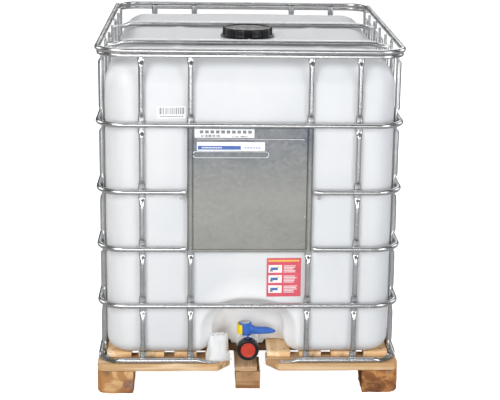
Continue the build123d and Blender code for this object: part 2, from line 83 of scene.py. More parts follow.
class Shade:
    """A small builder for node materials; every texture is in object space, in metres."""

    def __init__(self, name):
        self.mat = bpy.data.materials.new(name)
        self.mat.use_nodes = True
        self.tree = self.mat.node_tree
        self.tree.nodes.clear()
        self.out = self.tree.nodes.new("ShaderNodeOutputMaterial")
        self.bsdf = self.tree.nodes.new("ShaderNodeBsdfPrincipled")
        self.tree.links.new(self.bsdf.outputs[0], self.out.inputs[0])
        self.coord = self.tree.nodes.new("ShaderNodeTexCoord").outputs["Object"]

    def put(self, socket, value):
        """Link an output into a socket, or set the socket's own value."""
        if isinstance(value, bpy.types.NodeSocket):
            self.tree.links.new(value, socket)
        elif isinstance(value, (tuple, list)) and socket.type == "RGBA" and len(value) == 3:
            socket.default_value = (*value, 1.0)
        else:
            socket.default_value = value

    def set(self, **values):
        for key, value in values.items():
            self.put(self.bsdf.inputs[key.replace("_", " ")], value)

    def scaled(self, scale=(1, 1, 1), offset=(0, 0, 0)):
        node = self.tree.nodes.new("ShaderNodeMapping")
        self.put(node.inputs["Vector"], self.coord)
        node.inputs["Location"].default_value = offset
        node.inputs["Scale"].default_value = scale
        return node.outputs[0]

    def noise(self, scale, detail=3.0, rough=0.55, vector=None, distortion=0.0):
        node = self.tree.nodes.new("ShaderNodeTexNoise")
        self.put(node.inputs["Vector"], vector or self.coord)
        node.inputs["Scale"].default_value = scale
        node.inputs["Detail"].default_value = detail
        node.inputs["Roughness"].default_value = rough
        node.inputs["Distortion"].default_value = distortion
        return node.outputs[0]

    def cells(self, scale, vector=None, output="Color"):
        node = self.tree.nodes.new("ShaderNodeTexVoronoi")
        self.put(node.inputs["Vector"], vector or self.coord)
        node.inputs["Scale"].default_value = scale
        return node.outputs[output]

    def ramp(self, factor, stops):
        node = self.tree.nodes.new("ShaderNodeValToRGB")
        band = node.color_ramp
        while len(band.elements) < len(stops):
            band.elements.new(0.5)
        for element, (place, value) in zip(band.elements, stops):
            element.position = place
            element.color = (value, value, value, 1) if isinstance(value, (int, float)) else (*value, 1)
        self.put(node.inputs[0], factor)
        return node.outputs[0]

    def mix(self, factor, a, b):
        node = self.tree.nodes.new("ShaderNodeMix")
        node.data_type = "RGBA"
        self.put(node.inputs[0], factor)
        self.put(node.inputs[6], a)
        self.put(node.inputs[7], b)
        return node.outputs[2]

    def math(self, operation, a, b=0.0):
        node = self.tree.nodes.new("ShaderNodeMath")
        node.operation = operation
        self.put(node.inputs[0], a)
        self.put(node.inputs[1], b)
        return node.outputs[0]

    def axis(self, index):
        node = self.tree.nodes.new("ShaderNodeSeparateXYZ")
        self.put(node.inputs[0], self.coord)
        return node.outputs[index]

    def bump(self, height, strength, distance):
        node = self.tree.nodes.new("ShaderNodeBump")
        node.inputs["Strength"].default_value = strength
        node.inputs["Distance"].default_value = distance
        self.put(node.inputs["Height"], height)
        return node.outputs[0]

    def blob(self, centre, radius, soft=0.5):
        """1 inside a ball round centre, falling to 0 at radius."""
        node = self.tree.nodes.new("ShaderNodeVectorMath")
        node.operation = "DISTANCE"
        self.put(node.inputs[0], self.coord)
        node.inputs[1].default_value = centre
        return self.ramp(self.math("DIVIDE", node.outputs["Value"], radius), [(1.0 - soft, 1.0), (1.0, 0.0)])


def galvanised(name, tone=0.56, rough=0.30, spangle=260.0, streak=(1, 1, 1), wear=0.5):
    s = Shade(name)
    fine = s.noise(spangle * 1.8, 4.0, 0.6)
    cloud = s.noise(9.0, 4.0, 0.6, s.scaled(streak))
    grain = s.cells(spangle, output="Color")
    patch = s.mix(0.5, s.ramp(cloud, [(0.3, 0.0), (0.72, 1.0)]), grain)
    low = (tone * 0.80, tone * 0.81, tone * 0.83)
    high = (tone * 1.22, tone * 1.23, tone * 1.24)
    colour = s.mix(s.math("MULTIPLY", patch, wear), s.mix(0.5, low, high), high)
    colour = s.mix(s.ramp(fine, [(0.55, 0.0), (0.75, 0.35)]), colour, low)
    s.set(Base_Color=colour, Metallic=1.0)
    s.set(Roughness=s.ramp(s.mix(0.5, cloud, fine), [(0.25, rough - 0.08), (0.75, rough + 0.16)]))
    s.set(Normal=s.bump(s.mix(0.5, fine, grain), 0.05, 0.0002))
    return s.mat


def plate_metal(name):
    s = Shade(name)
    crystal = s.cells(70.0, s.scaled((1, 1, 1.25)), "Color")
    small = s.cells(420.0, output="Color")
    grain = s.noise(900.0, 3.0, 0.7)
    cloud = s.noise(6.5, 4.0, 0.6, s.scaled((1.0, 1.0, 1.6)))
    height = s.axis(2)
    upper = s.ramp(s.math("SUBTRACT", height, 0.49), [(0.18, 0.0), (0.36, 1.0)])
    blue = s.mix(s.ramp(cloud, [(0.42, 0.0), (0.62, 1.0)]), (0.190, 0.200, 0.210), (0.135, 0.155, 0.180))
    warm = s.mix(s.ramp(cloud, [(0.35, 0.0), (0.7, 1.0)]), (0.285, 0.285, 0.262), (0.335, 0.335, 0.305))
    colour = s.mix(upper, warm, blue)
    large_spangle = s.math("MULTIPLY", s.ramp(crystal, [(0.2, 0.0), (0.9, 1.0)]), 0.30)
    colour = s.mix(large_spangle, colour, (0.38, 0.385, 0.385))
    small_spangle = s.math("MULTIPLY", s.ramp(small, [(0.3, 0.0), (0.9, 1.0)]), 0.16)
    colour = s.mix(small_spangle, colour, (0.30, 0.31, 0.32))
    s.set(Base_Color=colour, Metallic=0.85)
    s.set(Roughness=s.ramp(s.mix(0.4, cloud, small), [(0.2, 0.40), (0.8, 0.56)]))
    s.set(Normal=s.bump(s.mix(0.5, grain, small), 0.12, 0.0003))
    return s.mat


def wood(name, along, light, dark, knots=0.5, seed=0.0, stains=(), rough=0.72, contrast=1.0):
    """Sawn timber; along is the axis the grain runs, stains are (centre, radius, colour, strength)."""
    s = Shade(name)
    stretch = [26.0, 26.0, 26.0]
    stretch[along] = 1.5
    base = s.scaled(tuple(stretch), (seed * 3.1, seed * 1.7, seed * 2.3))
    wobble = s.noise(0.6, 3.0, 0.5, base, 0.6)
    ring_value = s.math("MULTIPLY", wobble, 11.0)
    rings = s.math("ABSOLUTE", s.math("SINE", ring_value))
    fibre_scale = [380.0, 380.0, 380.0]
    fibre_scale[along] = 9.0
    fibre = s.noise(1.0, 4.0, 0.65, s.scaled(tuple(fibre_scale), (seed, seed, seed)))
    cloud = s.noise(7.0, 4.0, 0.6, s.scaled((1, 1, 1), (seed * 5.0, seed, seed * 2.0)))
    grain = s.mix(0.45, s.ramp(rings, [(0.05, 0.0), (0.95, 1.0)]), fibre)
    colour = s.mix(s.ramp(grain, [(0.28, 0.0), (0.68, contrast)]), light, dark)
    warm = (dark[0] * 1.05, dark[1] * 0.80, dark[2] * 0.55)
    colour = s.mix(s.ramp(cloud, [(0.48, 0.0), (0.74, 0.55)]), colour, warm)
    knot_scale = tuple(5.5 if i == along else 17.0 for i in range(3))
    spots = s.cells(1.0, s.scaled(knot_scale, (seed, 0, seed)), "Distance")
    knot = s.ramp(spots, [(0.07, knots), (0.16, 0.0)])
    colour = s.mix(knot, colour, (dark[0] * 0.45, dark[1] * 0.34, dark[2] * 0.25))
    for centre, radius, tint, strength in stains:
        edge = s.math("MULTIPLY", s.blob(centre, radius, 0.75), strength)
        broken = s.math("MULTIPLY", edge, s.ramp(s.noise(42.0, 5.0, 0.7), [(0.34, 0.15), (0.58, 1.0)]))
        colour = s.mix(broken, colour, tint)
    dirt = s.ramp(s.noise(3.0, 6.0, 0.7, s.scaled((1, 1, 1), (0, seed, 0))), [(0.55, 0.0), (0.85, 0.35)])
    colour = s.mix(dirt, colour, (dark[0] * 0.6, dark[1] * 0.55, dark[2] * 0.5))
    s.set(Base_Color=colour, Roughness=s.ramp(fibre, [(0.2, rough - 0.08), (0.8, rough + 0.12)]))
    s.set(Specular_IOR_Level=0.28)
    s.set(Normal=s.bump(s.mix(0.5, fibre, rings), 0.45, 0.0006))
    return s.mat


def plastic(name, colour, rough=0.35, grain=0.15, scale=700.0, vary=0.10, **extra):
    s = Shade(name)
    cloud = s.noise(30.0, 4.0, 0.6)
    fine = s.noise(scale, 3.0, 0.6)
    shade = tuple(c * (1.0 - vary * 1.6) for c in colour)
    tint = tuple(min(1.0, c * (1.0 + vary)) for c in colour)
    s.set(Base_Color=s.mix(s.ramp(cloud, [(0.35, 0.0), (0.68, 1.0)]), shade, tint))
    s.set(Roughness=s.ramp(s.mix(0.5, cloud, fine), [(0.25, rough - 0.06), (0.75, rough + 0.12)]))
    s.set(Normal=s.bump(fine, grain, 0.0003))
    s.set(**extra)
    return s.mat


def bottle_plastic(name):
    s = Shade(name)
    cloud = s.noise(3.2, 3.0, 0.5)
    fine = s.noise(420.0, 3.0, 0.6)
    flow = s.noise(5.0, 3.0, 0.5, s.scaled((3.0, 3.0, 0.4)))
    colour = s.mix(s.ramp(cloud, [(0.35, 0.0), (0.7, 1.0)]), (0.665, 0.680, 0.700), (0.715, 0.725, 0.738))
    colour = s.mix(s.ramp(flow, [(0.5, 0.0), (0.8, 0.4)]), colour, (0.645, 0.665, 0.692))
    # Painted light: the valve recess is brightened in the base colour, standing in for light reaching into
    # it.
    recess_painted_light = s.blob((0.0, -0.47, 0.20), 0.23, 0.5)
    colour = s.mix(recess_painted_light, colour, (0.93, 0.935, 0.94))
    # Painted shade: the bottle's top is darkened in the base colour above z 1.085.
    painted_top_shade = s.math("MULTIPLY", s.math("SUBTRACT", s.axis(2), 1.085), 30.0)
    painted_top_shade = s.ramp(painted_top_shade, [(0.0, 0.0), (1.0, 1.0)])
    colour = s.mix(painted_top_shade, colour, (0.53, 0.545, 0.565))
    s.set(Base_Color=colour)
    s.set(Roughness=s.ramp(s.mix(0.5, cloud, fine), [(0.25, 0.34), (0.75, 0.46)]))
    s.set(Subsurface_Weight=0.30, Subsurface_Scale=0.02, IOR=1.5)
    s.bsdf.inputs["Subsurface Radius"].default_value = (1.0, 1.0, 1.0)
    s.set(Normal=s.bump(s.mix(0.7, fine, flow), 0.10, 0.0006))
    return s.mat


def film(name):
    s = Shade(name)
    cloud = s.noise(26.0, 4.0, 0.6)
    fine = s.noise(320.0, 3.0, 0.6)
    s.set(Base_Color=s.mix(cloud, (0.74, 0.75, 0.77), (0.86, 0.86, 0.87)))
    s.set(Roughness=s.ramp(fine, [(0.3, 0.20), (0.7, 0.34)]))
    s.set(IOR=1.45, Alpha=0.90)
    s.set(Normal=s.bump(s.mix(0.5, cloud, fine), 0.20, 0.0008))
    return s.mat


def clear_film(name):
    s = Shade(name)
    cloud = s.noise(60.0, 4.0, 0.6)
    s.set(Base_Color=(0.93, 0.94, 0.95), IOR=1.35)
    s.set(Roughness=s.ramp(cloud, [(0.3, 0.08), (0.7, 0.20)]))
    s.set(Alpha=0.34)
    s.set(Normal=s.bump(cloud, 0.25, 0.0008))
    return s.mat


def print_bars(name, paper, ink, pitch, low=0.5, gloss=0.35):
    """Upright bars of uneven width along X."""
    s = Shade(name)
    x = s.axis(0)
    node = s.tree.nodes.new("ShaderNodeTexWhiteNoise")
    node.noise_dimensions = "1D"
    s.put(node.inputs["W"], s.math("FLOOR", s.math("MULTIPLY", x, 1.0 / pitch)))
    bars = s.math("GREATER_THAN", node.outputs["Value"], low)
    s.set(Base_Color=s.mix(bars, paper, ink))
    s.set(Roughness=s.ramp(s.noise(300.0), [(0.3, gloss), (0.7, gloss + 0.1)]))
    s.set(Normal=s.bump(s.noise(200.0), 0.05, 0.0002))
    return s.mat


MAT = {
    "tube": galvanised("galvanised_tube", 0.50, 0.22, 300.0, wear=0.7),
    "tube_dark": galvanised("galvanised_pressed", 0.20, 0.34, 300.0, wear=0.5),
    "plate": plate_metal("galvanised_sheet"),
    # Painted highlight: the plate's beads, hem and slot rim take a far brighter zinc tone than the sheet.
    "pressed": galvanised("galvanised_fold_painted_highlight", 0.80, 0.30, 300.0, wear=0.5),
    "screw": galvanised("zinc_plated_screw", 0.78, 0.20, 900.0),
    "nail": galvanised("nail_head", 0.16, 0.50, 900.0),
    "bottle": bottle_plastic("bottle_polyethylene"),
    "black": plastic("cap_black", (0.010, 0.010, 0.012), 0.27, 0.35, 500.0, Specular_IOR_Level=0.30),
    "rubber": plastic("seal_rubber", (0.02, 0.02, 0.02), 0.70, 0.4, 800.0),
    "valve": plastic("valve_natural", (0.80, 0.815, 0.83), 0.36, 0.12, 500.0, 0.04),
    "blue": plastic("handle_blue", (0.030, 0.125, 0.50), 0.33, 0.20, 600.0, 0.16),
    "yellow": plastic("clip_yellow", (0.93, 0.70, 0.01), 0.38, 0.20, 600.0, 0.08),
    "red": plastic("disc_red", (0.56, 0.042, 0.020), 0.36, 0.30, 420.0, 0.12),
    "badge": plastic("badge_pale", (0.50, 0.53, 0.58), 0.28, 0.5, 160.0, 0.20),
    "paper": plastic("label_white", (0.88, 0.89, 0.91), 0.38, 0.06, 300.0, 0.02),
    "ink_blue": plastic("label_blue", (0.055, 0.135, 0.42), 0.38, 0.06, 300.0, 0.06),
    "ink_red": plastic("label_red", (0.66, 0.095, 0.130), 0.40, 0.06, 300.0, 0.07),
    "ink_yellow": plastic("label_yellow", (0.90, 0.62, 0.10), 0.40, 0.06, 300.0, 0.05),
    "ink_grey": plastic("label_grey", (0.20, 0.21, 0.23), 0.40, 0.06, 300.0, 0.10),
    "bars": print_bars("label_bars", (0.86, 0.87, 0.89), (0.07, 0.07, 0.08), 0.0006, 0.48),
    "film": film("bag_film"),
    "clear": clear_film("bag_clear"),
}

PINE = (0.80, 0.565, 0.325)
PINE_DARK = (0.60, 0.355, 0.165)
CHIP = (0.66, 0.42, 0.21)
CHIP_DARK = (0.34, 0.165, 0.065)


# ------------------------------------------------------------------ mesh helpers

def make_object(name, verts, faces, material, smooth=True, body="container", auto=None):
    mesh = bpy.data.meshes.new(name)
    mesh.from_pydata([tuple(v) for v in verts], [], faces)
    mesh.update()
    obj = bpy.data.objects.new(name, mesh)
    scene.collection.objects.link(obj)
    finish_mesh(obj, material, smooth, auto)
    if body:
        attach(obj, body)
    return obj


def finish_mesh(obj, material, smooth=True, auto=None):
    mesh = obj.data
    bm = bmesh.new()
    bm.from_mesh(mesh)
    bmesh.ops.recalc_face_normals(bm, faces=bm.faces)
    for face in bm.faces:
        face.smooth = smooth
    if auto is not None:
        for edge in bm.edges:
            if len(edge.link_faces) == 2 and edge.calc_face_angle(0.0) > math.radians(auto):
                edge.smooth = False
    bm.to_mesh(mesh)
    bm.free()
    mesh.materials.clear()
    for m in material if isinstance(material, (list, tuple)) else [material]:
        mesh.materials.append(m)


def grid_faces(rows, columns, close_rows=False, close_columns=True, start=0):
    faces = []
    for i in range(rows if close_rows else rows - 1):
        for j in range(columns if close_columns else columns - 1):
            a = start + i * columns + j
            b = start + i * columns + (j + 1) % columns
            c = start + ((i + 1) % rows) * columns + (j + 1) % columns
            d = start + ((i + 1) % rows) * columns + j
            faces.append((a, b, c, d))
    return faces


def capped(rows, columns, faces, start=0):
    faces.append(tuple(start + j for j in reversed(range(columns))))
    faces.append(tuple(start + (rows - 1) * columns + j for j in range(columns)))
    return faces


def sheet_rim(rows, columns):
    """Indices round the edge of a grid, in order."""
    edge = list(range(columns))
    edge += [i * columns + columns - 1 for i in range(1, rows)]
    edge += [(rows - 1) * columns + j for j in range(columns - 2, -1, -1)]
    return edge + [i * columns for i in range(rows - 2, 0, -1)]


def smoothstep(t):
    t = max(0.0, min(1.0, t))
    return t * t * (3 - 2 * t)


def apply_all(obj):
    """Turn the object's modifiers into plain mesh."""
    graph = bpy.context.evaluated_depsgraph_get()
    mesh = bpy.data.meshes.new_from_object(obj.evaluated_get(graph))
    old = obj.data
    obj.modifiers.clear()
    obj.data = mesh
    bpy.data.meshes.remove(old)
    return obj


def remeshed(obj, voxel, passes=4, factor=0.5):
    """Voxel remesh, which unites overlapping solids, and then smooth."""
    mod = obj.modifiers.new("voxel", "REMESH")
    mod.mode = "VOXEL"
    mod.voxel_size = voxel
    if passes:
        soft = obj.modifiers.new("soft", "SMOOTH")
        soft.factor = factor
        soft.iterations = passes
    return apply_all(obj)


def copy_node(name, new_name):
    obj = bpy.data.objects.new(new_name, nodes[name].data.copy())
    scene.collection.objects.link(obj)
    return obj


def paint(name, material):
    obj = nodes[name]
    if not obj.data.materials:
        obj.data.materials.append(material)
    for place in obj.material_slots:
        place.material = material


def box_mesh(x0, x1, y0, y1, z0, z1):
    verts = [(x, y, z) for z in (z0, z1) for y in (y0, y1) for x in (x0, x1)]
    faces = [(0, 2, 3, 1), (4, 5, 7, 6), (0, 1, 5, 4), (2, 6, 7, 3), (0, 4, 6, 2), (1, 3, 7, 5)]
    return verts, faces


def join_meshes(parts):
    verts, faces = [], []
    for v, f in parts:
        start = len(verts)
        verts += list(v)
        faces += [tuple(i + start for i in face) for face in f]
    return verts, faces


def lathe(profile, steps, frame_at, modulate=None):
    """Closed surface turned about an axis. profile is (radius, height); modulate(radius, height, angle)."""
    verts = []
    for r, h in profile:
        for j in range(steps):
            a = 2 * math.pi * j / steps
            rr = modulate(r, h, a) if modulate else r
            verts.append(frame_at(rr * math.cos(a), rr * math.sin(a), h))
    return verts, capped(len(profile), steps, grid_faces(len(profile), steps))


# ------------------------------------------------------------------ tubes of the cage

def rounded_loop(half_x, half_y, corner, straight=0.02, arc=14):
    """Points (x, y, nx, ny) round a rounded rectangle, anticlockwise, from the middle of the front side."""
    points = []

    def run(x0, y0, x1, y1, nx, ny):
        count = max(2, int(math.hypot(x1 - x0, y1 - y0) / straight))
        for i in range(count):
            t = i / count
            points.append((x0 + (x1 - x0) * t, y0 + (y1 - y0) * t, nx, ny))

    def turn(cx, cy, start):
        for i in range(arc):
            a = math.radians(start + 90.0 * i / arc)
            points.append((cx + corner * math.cos(a), cy + corner * math.sin(a), math.cos(a), math.sin(a)))

    ix, iy = half_x - corner, half_y - corner
    run(0, -half_y, ix, -half_y, 0, -1)
    turn(ix, -iy, -90)
    run(half_x, -iy, half_x, iy, 1, 0)
    turn(ix, iy, 0)
    run(ix, half_y, -ix, half_y, 0, 1)
    turn(-ix, iy, 90)
    run(-half_x, iy, -half_x, -iy, -1, 0)
    turn(-ix, -iy, 180)
    run(-ix, -half_y, 0, -half_y, 0, -1)
    return points


def tube_from(points, z, section, closed=True, sides=20):
    """Sweep a section round a flat loop. section(x, y) gives (out half, up half, out shift, up shift)."""
    verts = []
    for x, y, nx, ny in points:
        out_half, up_half, out_shift, up_shift = section(x, y)
        for j in range(sides):
            a = 2 * math.pi * j / sides
            out = out_shift + out_half * math.cos(a)
            verts.append((x + nx * out, y + ny * out, z + up_shift + up_half * math.sin(a)))
    rows = len(points)
    faces = grid_faces(rows, sides, close_rows=closed)
    if not closed:
        capped(rows, sides, faces)
    return verts, faces


def dented(x, y, depth=0.0008):
    """A ring is a little flattened on its inner side where an upright is welded to it."""
    near = 1.0
    for px in FRONT_POSTS:
        if abs(abs(y) - RING_Y) < 0.002:
            near = min(near, abs(x - px) / 0.016)
    for py in SIDE_POSTS:
        if abs(abs(x) - RING_X) < 0.002:
            near = min(near, abs(y - py) / 0.016)
    press = depth * (1.0 - smoothstep(near))
    return (TUBE - press * 0.6, TUBE, press * 0.6, 0.0)


def ring_loop(straight=0.008):
    return rounded_loop(RING_X, RING_Y, RING_CORNER, straight)


def opened(loop, gap):
    """The loop without its stretch across the front opening, started at the right end."""
    loop = [p for p in loop if not (p[1] < -RING_Y + 0.001 and abs(p[0]) < gap)]
    first = next(i for i, p in enumerate(loop) if p[0] > 0 and p[1] < -RING_Y + 0.001)
    return loop[first:] + loop[:first]


def full_ring(name, z, node):
    verts, faces = tube_from(ring_loop(), z, dented)
    obj = make_object(name, verts, faces, MAT["tube"])
    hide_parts(node)


def split_ring(name, z, node, gap=0.2055):
    """Ring with an opening in front; both ends are pressed flat and welded on the inner uprights."""
    loop = opened(ring_loop(0.004), gap)

    def section(x, y):
        if y < -RING_Y + 0.001:
            t = 1.0 - smoothstep((abs(x) - gap - 0.004) / 0.026)
            return (TUBE - 0.0052 * t, TUBE + 0.0012 * t, 0.0040 * t, 0.0)
        return dented(x, y)

    verts, faces = tube_from(loop, z, section, closed=False)
    obj = make_object(name, verts, faces, MAT["tube"], auto=60)
    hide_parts(node)


full_ring("ring_tube_1", RINGS[0], "cage_ring_1")
split_ring("ring_tube_2", RINGS[1], "cage_ring_2")
split_ring("ring_tube_3", RINGS[2], "cage_ring_3")
full_ring("ring_tube_4", RINGS[3], "cage_ring_4")


def rail_section(x, y):
    """The top rail is pressed a little at the middle of the front and carries a joint at the rear."""
    if y < -RING_Y + 0.001:
        t = 1.0 - smoothstep((abs(x) - 0.030) / 0.016)
        return (TUBE - 0.0012 * t, TUBE - 0.0010 * t, 0.0, 0.0)
    if y > RING_Y - 0.001:
        t = 1.0 - smoothstep((abs(x) - 0.026) / 0.006)
        return (TUBE - 0.0008 + 0.0006 * t, TUBE - 0.0008 + 0.0006 * t, 0.0, 0.0)
    return (TUBE, TUBE, 0.0, 0.0)


verts, faces = tube_from(ring_loop(), RAIL_Z, rail_section, sides=24)
rail = make_object("rail_tube", verts, faces, MAT["tube"])
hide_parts("top_rail")

for place in ("front", "rear"):
    paint("rail_stiffener_" + place, MAT["tube"])


def bottom_loop():
    """Open loop of the ring on the deck, with its two ends beside the valve."""
    gap = 0.1035
    loop = opened(ring_loop(0.005), gap)
    loop.insert(0, (gap, -RING_Y, 0, -1))
    loop.append((-gap, -RING_Y, 0, -1))
    return loop


def bottom_section(x, y):
    """Flat screwed ends in front, and a flat screwed seat at each corner."""
    if y < -RING_Y + 0.001:
        t = 1.0 - smoothstep((abs(x) - 0.124) / 0.050)
        half = TUBE + (0.0021 - TUBE) * t
        return (TUBE - 0.0002, half, 0.0, -(TUBE - half))
    corner = math.hypot(abs(x) - (RING_X - 0.024), abs(y) - (RING_Y - 0.024))
    t = 1.0 - smoothstep((corner - 0.030) / 0.016)
    half = TUBE - 0.0044 * t
    return (TUBE + 0.0020 * t, half, -0.0015 * t, -(TUBE - half))


loop = bottom_loop()
verts, faces = tube_from(loop, BOTTOM_RING_Z, bottom_section, closed=False, sides=24)
bottom_ring = make_object("bottom_ring_tube", verts, faces, [MAT["tube"], MAT["tube_dark"]],
                          auto=60)
for face in bottom_ring.data.polygons:
    c = face.center
    away = math.hypot(abs(c.x) - (RING_X - 0.024), abs(c.y) - (RING_Y - 0.024))
    if away < 0.038:
        face.material_index = 1
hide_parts("bottom_ring")


def post_form(z):
    """(half width, half thickness, shift along the outward direction) of an upright at height z."""
    press = 0.0
    for ring in (*RINGS, BOTTOM_RING_Z):
        press = max(press, 1.0 - smoothstep((abs(z - ring) - 0.023) / 0.016))
    if z > RAIL_Z - 0.048:
        press = max(press, smoothstep((z - (RAIL_Z - 0.048)) / 0.016))
    half_width = TUBE + press * 0.0022
    half_thick = TUBE - press * 0.0044
    return half_width, half_thick, -0.0044 * press, press


def post_mesh(x, y, nx, ny, sides=20):
    tx, ty = -ny, nx
    low, high = CROSS_TOP + 0.0006, 1.1452
    levels = [low]
    marks = sorted([*RINGS, BOTTOM_RING_Z, RAIL_Z - 0.026])
    z = low
    while z < high - 0.0005:
        near = min(abs(z - m) for m in marks)
        z = min(high, z + (0.003 if near < 0.046 else 0.022))
        levels.append(z)
    verts = []
    for z in levels:
        half_width, half_thick, shift, press = post_form(z)
        for j in range(sides):
            a = 2 * math.pi * j / sides
            c, s = math.cos(a), math.sin(a)
            power = 1.0 - 0.35 * press
            across = math.copysign(abs(c) ** power, c) * half_width
            out = shift + math.copysign(abs(s) ** (1.0 + 0.10 * press), s) * half_thick
            verts.append((x + tx * across + nx * out, y + ty * across + ny * out, z))
    return verts, capped(len(levels), sides, grid_faces(len(levels), sides))


def post_group(name, node, places):
    verts, faces = join_meshes([post_mesh(*p) for p in places])
    obj = make_object(name, verts, faces, MAT["tube"])
    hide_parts(node)


post_group("uprights_front", "cage_posts_front", [(x, -POST_Y, 0, -1) for x in FRONT_POSTS])
post_group("uprights_rear", "cage_posts_rear", [(x, POST_Y, 0, 1) for x in FRONT_POSTS])
post_group("uprights_left", "cage_posts_left", [(-POST_X, y, -1, 0) for y in SIDE_POSTS])
post_group("uprights_right", "cage_posts_right", [(POST_X, y, 1, 0) for y in SIDE_POSTS])


def bead(centre, size, steps=8, rows=6):
    """A small squashed ball, as a weld or a dimple."""
    verts = []
    for i in range(rows + 1):
        b = -math.pi / 2 + math.pi * i / rows
        for j in range(steps):
            a = 2 * math.pi * j / steps
            verts.append((
                centre[0] + size[0] * math.cos(b) * math.cos(a),
                centre[1] + size[1] * math.cos(b) * math.sin(a),
                centre[2] + size[2] * math.sin(b),
            ))
    return verts, grid_faces(rows + 1, steps)


welds = []
random.seed(4)
places = [(x, -POST_Y, 0, -1) for x in FRONT_POSTS] + [(x, POST_Y, 0, 1) for x in FRONT_POSTS]
places += [(-POST_X, y, -1, 0) for y in SIDE_POSTS] + [(POST_X, y, 1, 0) for y in SIDE_POSTS]
for x, y, nx, ny in places:
    for z in RINGS:
        for side in (-1, 1):
            for up in (-1, 1):
                wx = x + nx * 0.0012 - ny * side * 0.0085
                wy = y + ny * 0.0012 + nx * side * 0.0085
                size = 0.0022 + 0.0006 * random.random()
                welds.append(bead((wx, wy, z + up * 0.0052), (size, size, size * 0.8), 6, 4))
verts, faces = join_meshes(welds)
make_object("cage_welds", verts, faces, MAT["tube_dark"])

for node, key in (("crossbar_front", "tube"), ("crossbar_rear", "tube"), ("plate_hooks", "tube"),
                  ("crossbar_screws", "screw"), ("bottom_ring_screws", "screw"), ("label_plate", "plate")):
    paint(node, MAT[key])


# ------------------------------------------------------------------ bottle

BOTTLE_X = 0.4725
BOTTLE_Y = 0.570
BOTTLE_LOW = 0.1245
BOTTLE_HIGH = 1.126


def bulge_between(value, posts):
    """0 at each upright and 1 half way between two of them."""
    for a, b in zip(posts, posts[1:]):
        if a <= value <= b:
            return math.sin(math.pi * (value - a) / (b - a)) ** 1.4
    return 0.0


def upright_profile(z):
    return smoothstep((z - 0.17) / 0.18) * smoothstep((1.06 - z) / 0.16)


def front_bulge(x, z):
    end = (-0.40, -0.349, -0.1925, 0.1925, 0.349, 0.40)
    swell = 0.0065 * bulge_between(x, end[1:5]) if abs(x) > 0.1925 else 0.0050 * bulge_between(x, end[1:5])
    return swell * upright_profile(z)


def side_bulge(y, z):
    return 0.0095 * bulge_between(y, SIDE_POSTS) * upright_profile(z)


def bottle_outline(inset, count=26):
    """Corner points of the bottle's plan at one level."""
    hx, hy = BOTTLE_X - inset, BOTTLE_Y - inset
    corner = max(0.086 - inset, 0.012)
    points = []
    for sx, sy, start in ((1, -1, -90), (1, 1, 0), (-1, 1, 90), (-1, -1, 180)):
        cx, cy = sx * (hx - corner), sy * (hy - corner)
        for i in range(count + 1):
            a = math.radians(start + 90.0 * i / count)
            points.append((cx + corner * math.cos(a), cy + corner * math.sin(a)))
    return points


def bottle_body():
    levels = [(BOTTLE_LOW + 0.048 * (1 - math.cos(math.radians(90 * i / 12))),
               0.048 * (1 - math.sin(math.radians(90 * i / 12)))) for i in range(13)]
    for i in range(17):
        a = math.radians(90.0 * i / 16)
        levels.append((BOTTLE_HIGH - 0.100 * (1 - math.sin(a)), 0.100 * (1 - math.cos(a))))
    verts = []
    for z, inset in levels:
        verts += [(x, y, z) for x, y in bottle_outline(inset)]
    columns = len(bottle_outline(0.0))
    return verts, capped(len(levels), columns, grid_faces(len(levels), columns))


def arch_outline(half, top, flare):
    """Arch (x, z) whose legs spread at the bottle's base, from the right foot round to the left one."""
    spring = 0.205
    right = [(half + flare + 0.02, 0.05), (half + flare + 0.02, BOTTLE_LOW - 0.004)]
    for i in range(9):
        a = math.radians(90.0 * i / 8)
        right.append((half + flare * (1 - math.sin(a)), BOTTLE_LOW + flare * (1 - math.cos(a))))
    for i in range(17):
        a = math.radians(90.0 * i / 16)
        right.append((half * math.cos(a) ** 0.86, spring + (top - spring) * math.sin(a) ** 0.92))
    left = [(-x, z) for x, z in reversed(right[:-1])]
    return right + left


def arch_cutter():
    """The valve recess: an arch in front with wide soft edges, round in plan at its inner end."""
    rows = [(-0.64, 0.162, 0.330), (-0.5705, 0.160, 0.328)]
    for i in range(1, 9):
        a = math.radians(90.0 * i / 8)
        rows.append((-0.570 + 0.042 * math.sin(a) * 0.95, 0.118 + 0.042 * (1 - math.sin(a)) ** 0.9,
                     0.292 + 0.036 * (1 - math.sin(a)) ** 0.9))
    for i in range(1, 11):
        a = math.radians(90.0 * i / 10)
        rows.append((-0.495 + 0.070 * math.sin(a), 0.118 - 0.060 * (1 - math.cos(a)),
                     0.292 - 0.050 * (1 - math.cos(a))))
    verts = []
    for y, half, top in rows:
        verts += [(x, y, z) for x, z in arch_outline(half, top, 0.054)]
    columns = len(arch_outline(0.1, 0.3, 0.054))
    return verts, capped(len(rows), columns, grid_faces(len(rows), columns))


def tube_solid(centre, radius, y0, y1, steps=48):
    verts = []
    for y in (y0, y1):
        for j in range(steps):
            a = 2 * math.pi * j / steps
            verts.append((centre[0] + radius * math.cos(a), y, centre[1] + radius * math.sin(a)))
    return verts, capped(2, steps, grid_faces(2, steps))


def bare_object(name, data):
    mesh = bpy.data.meshes.new(name)
    mesh.from_pydata([tuple(v) for v in data[0]], [], data[1])
    bm = bmesh.new()
    bm.from_mesh(mesh)
    bmesh.ops.recalc_face_normals(bm, faces=bm.faces)
    bm.to_mesh(mesh)
    bm.free()
    obj = bpy.data.objects.new(name, mesh)
    scene.collection.objects.link(obj)
    return obj


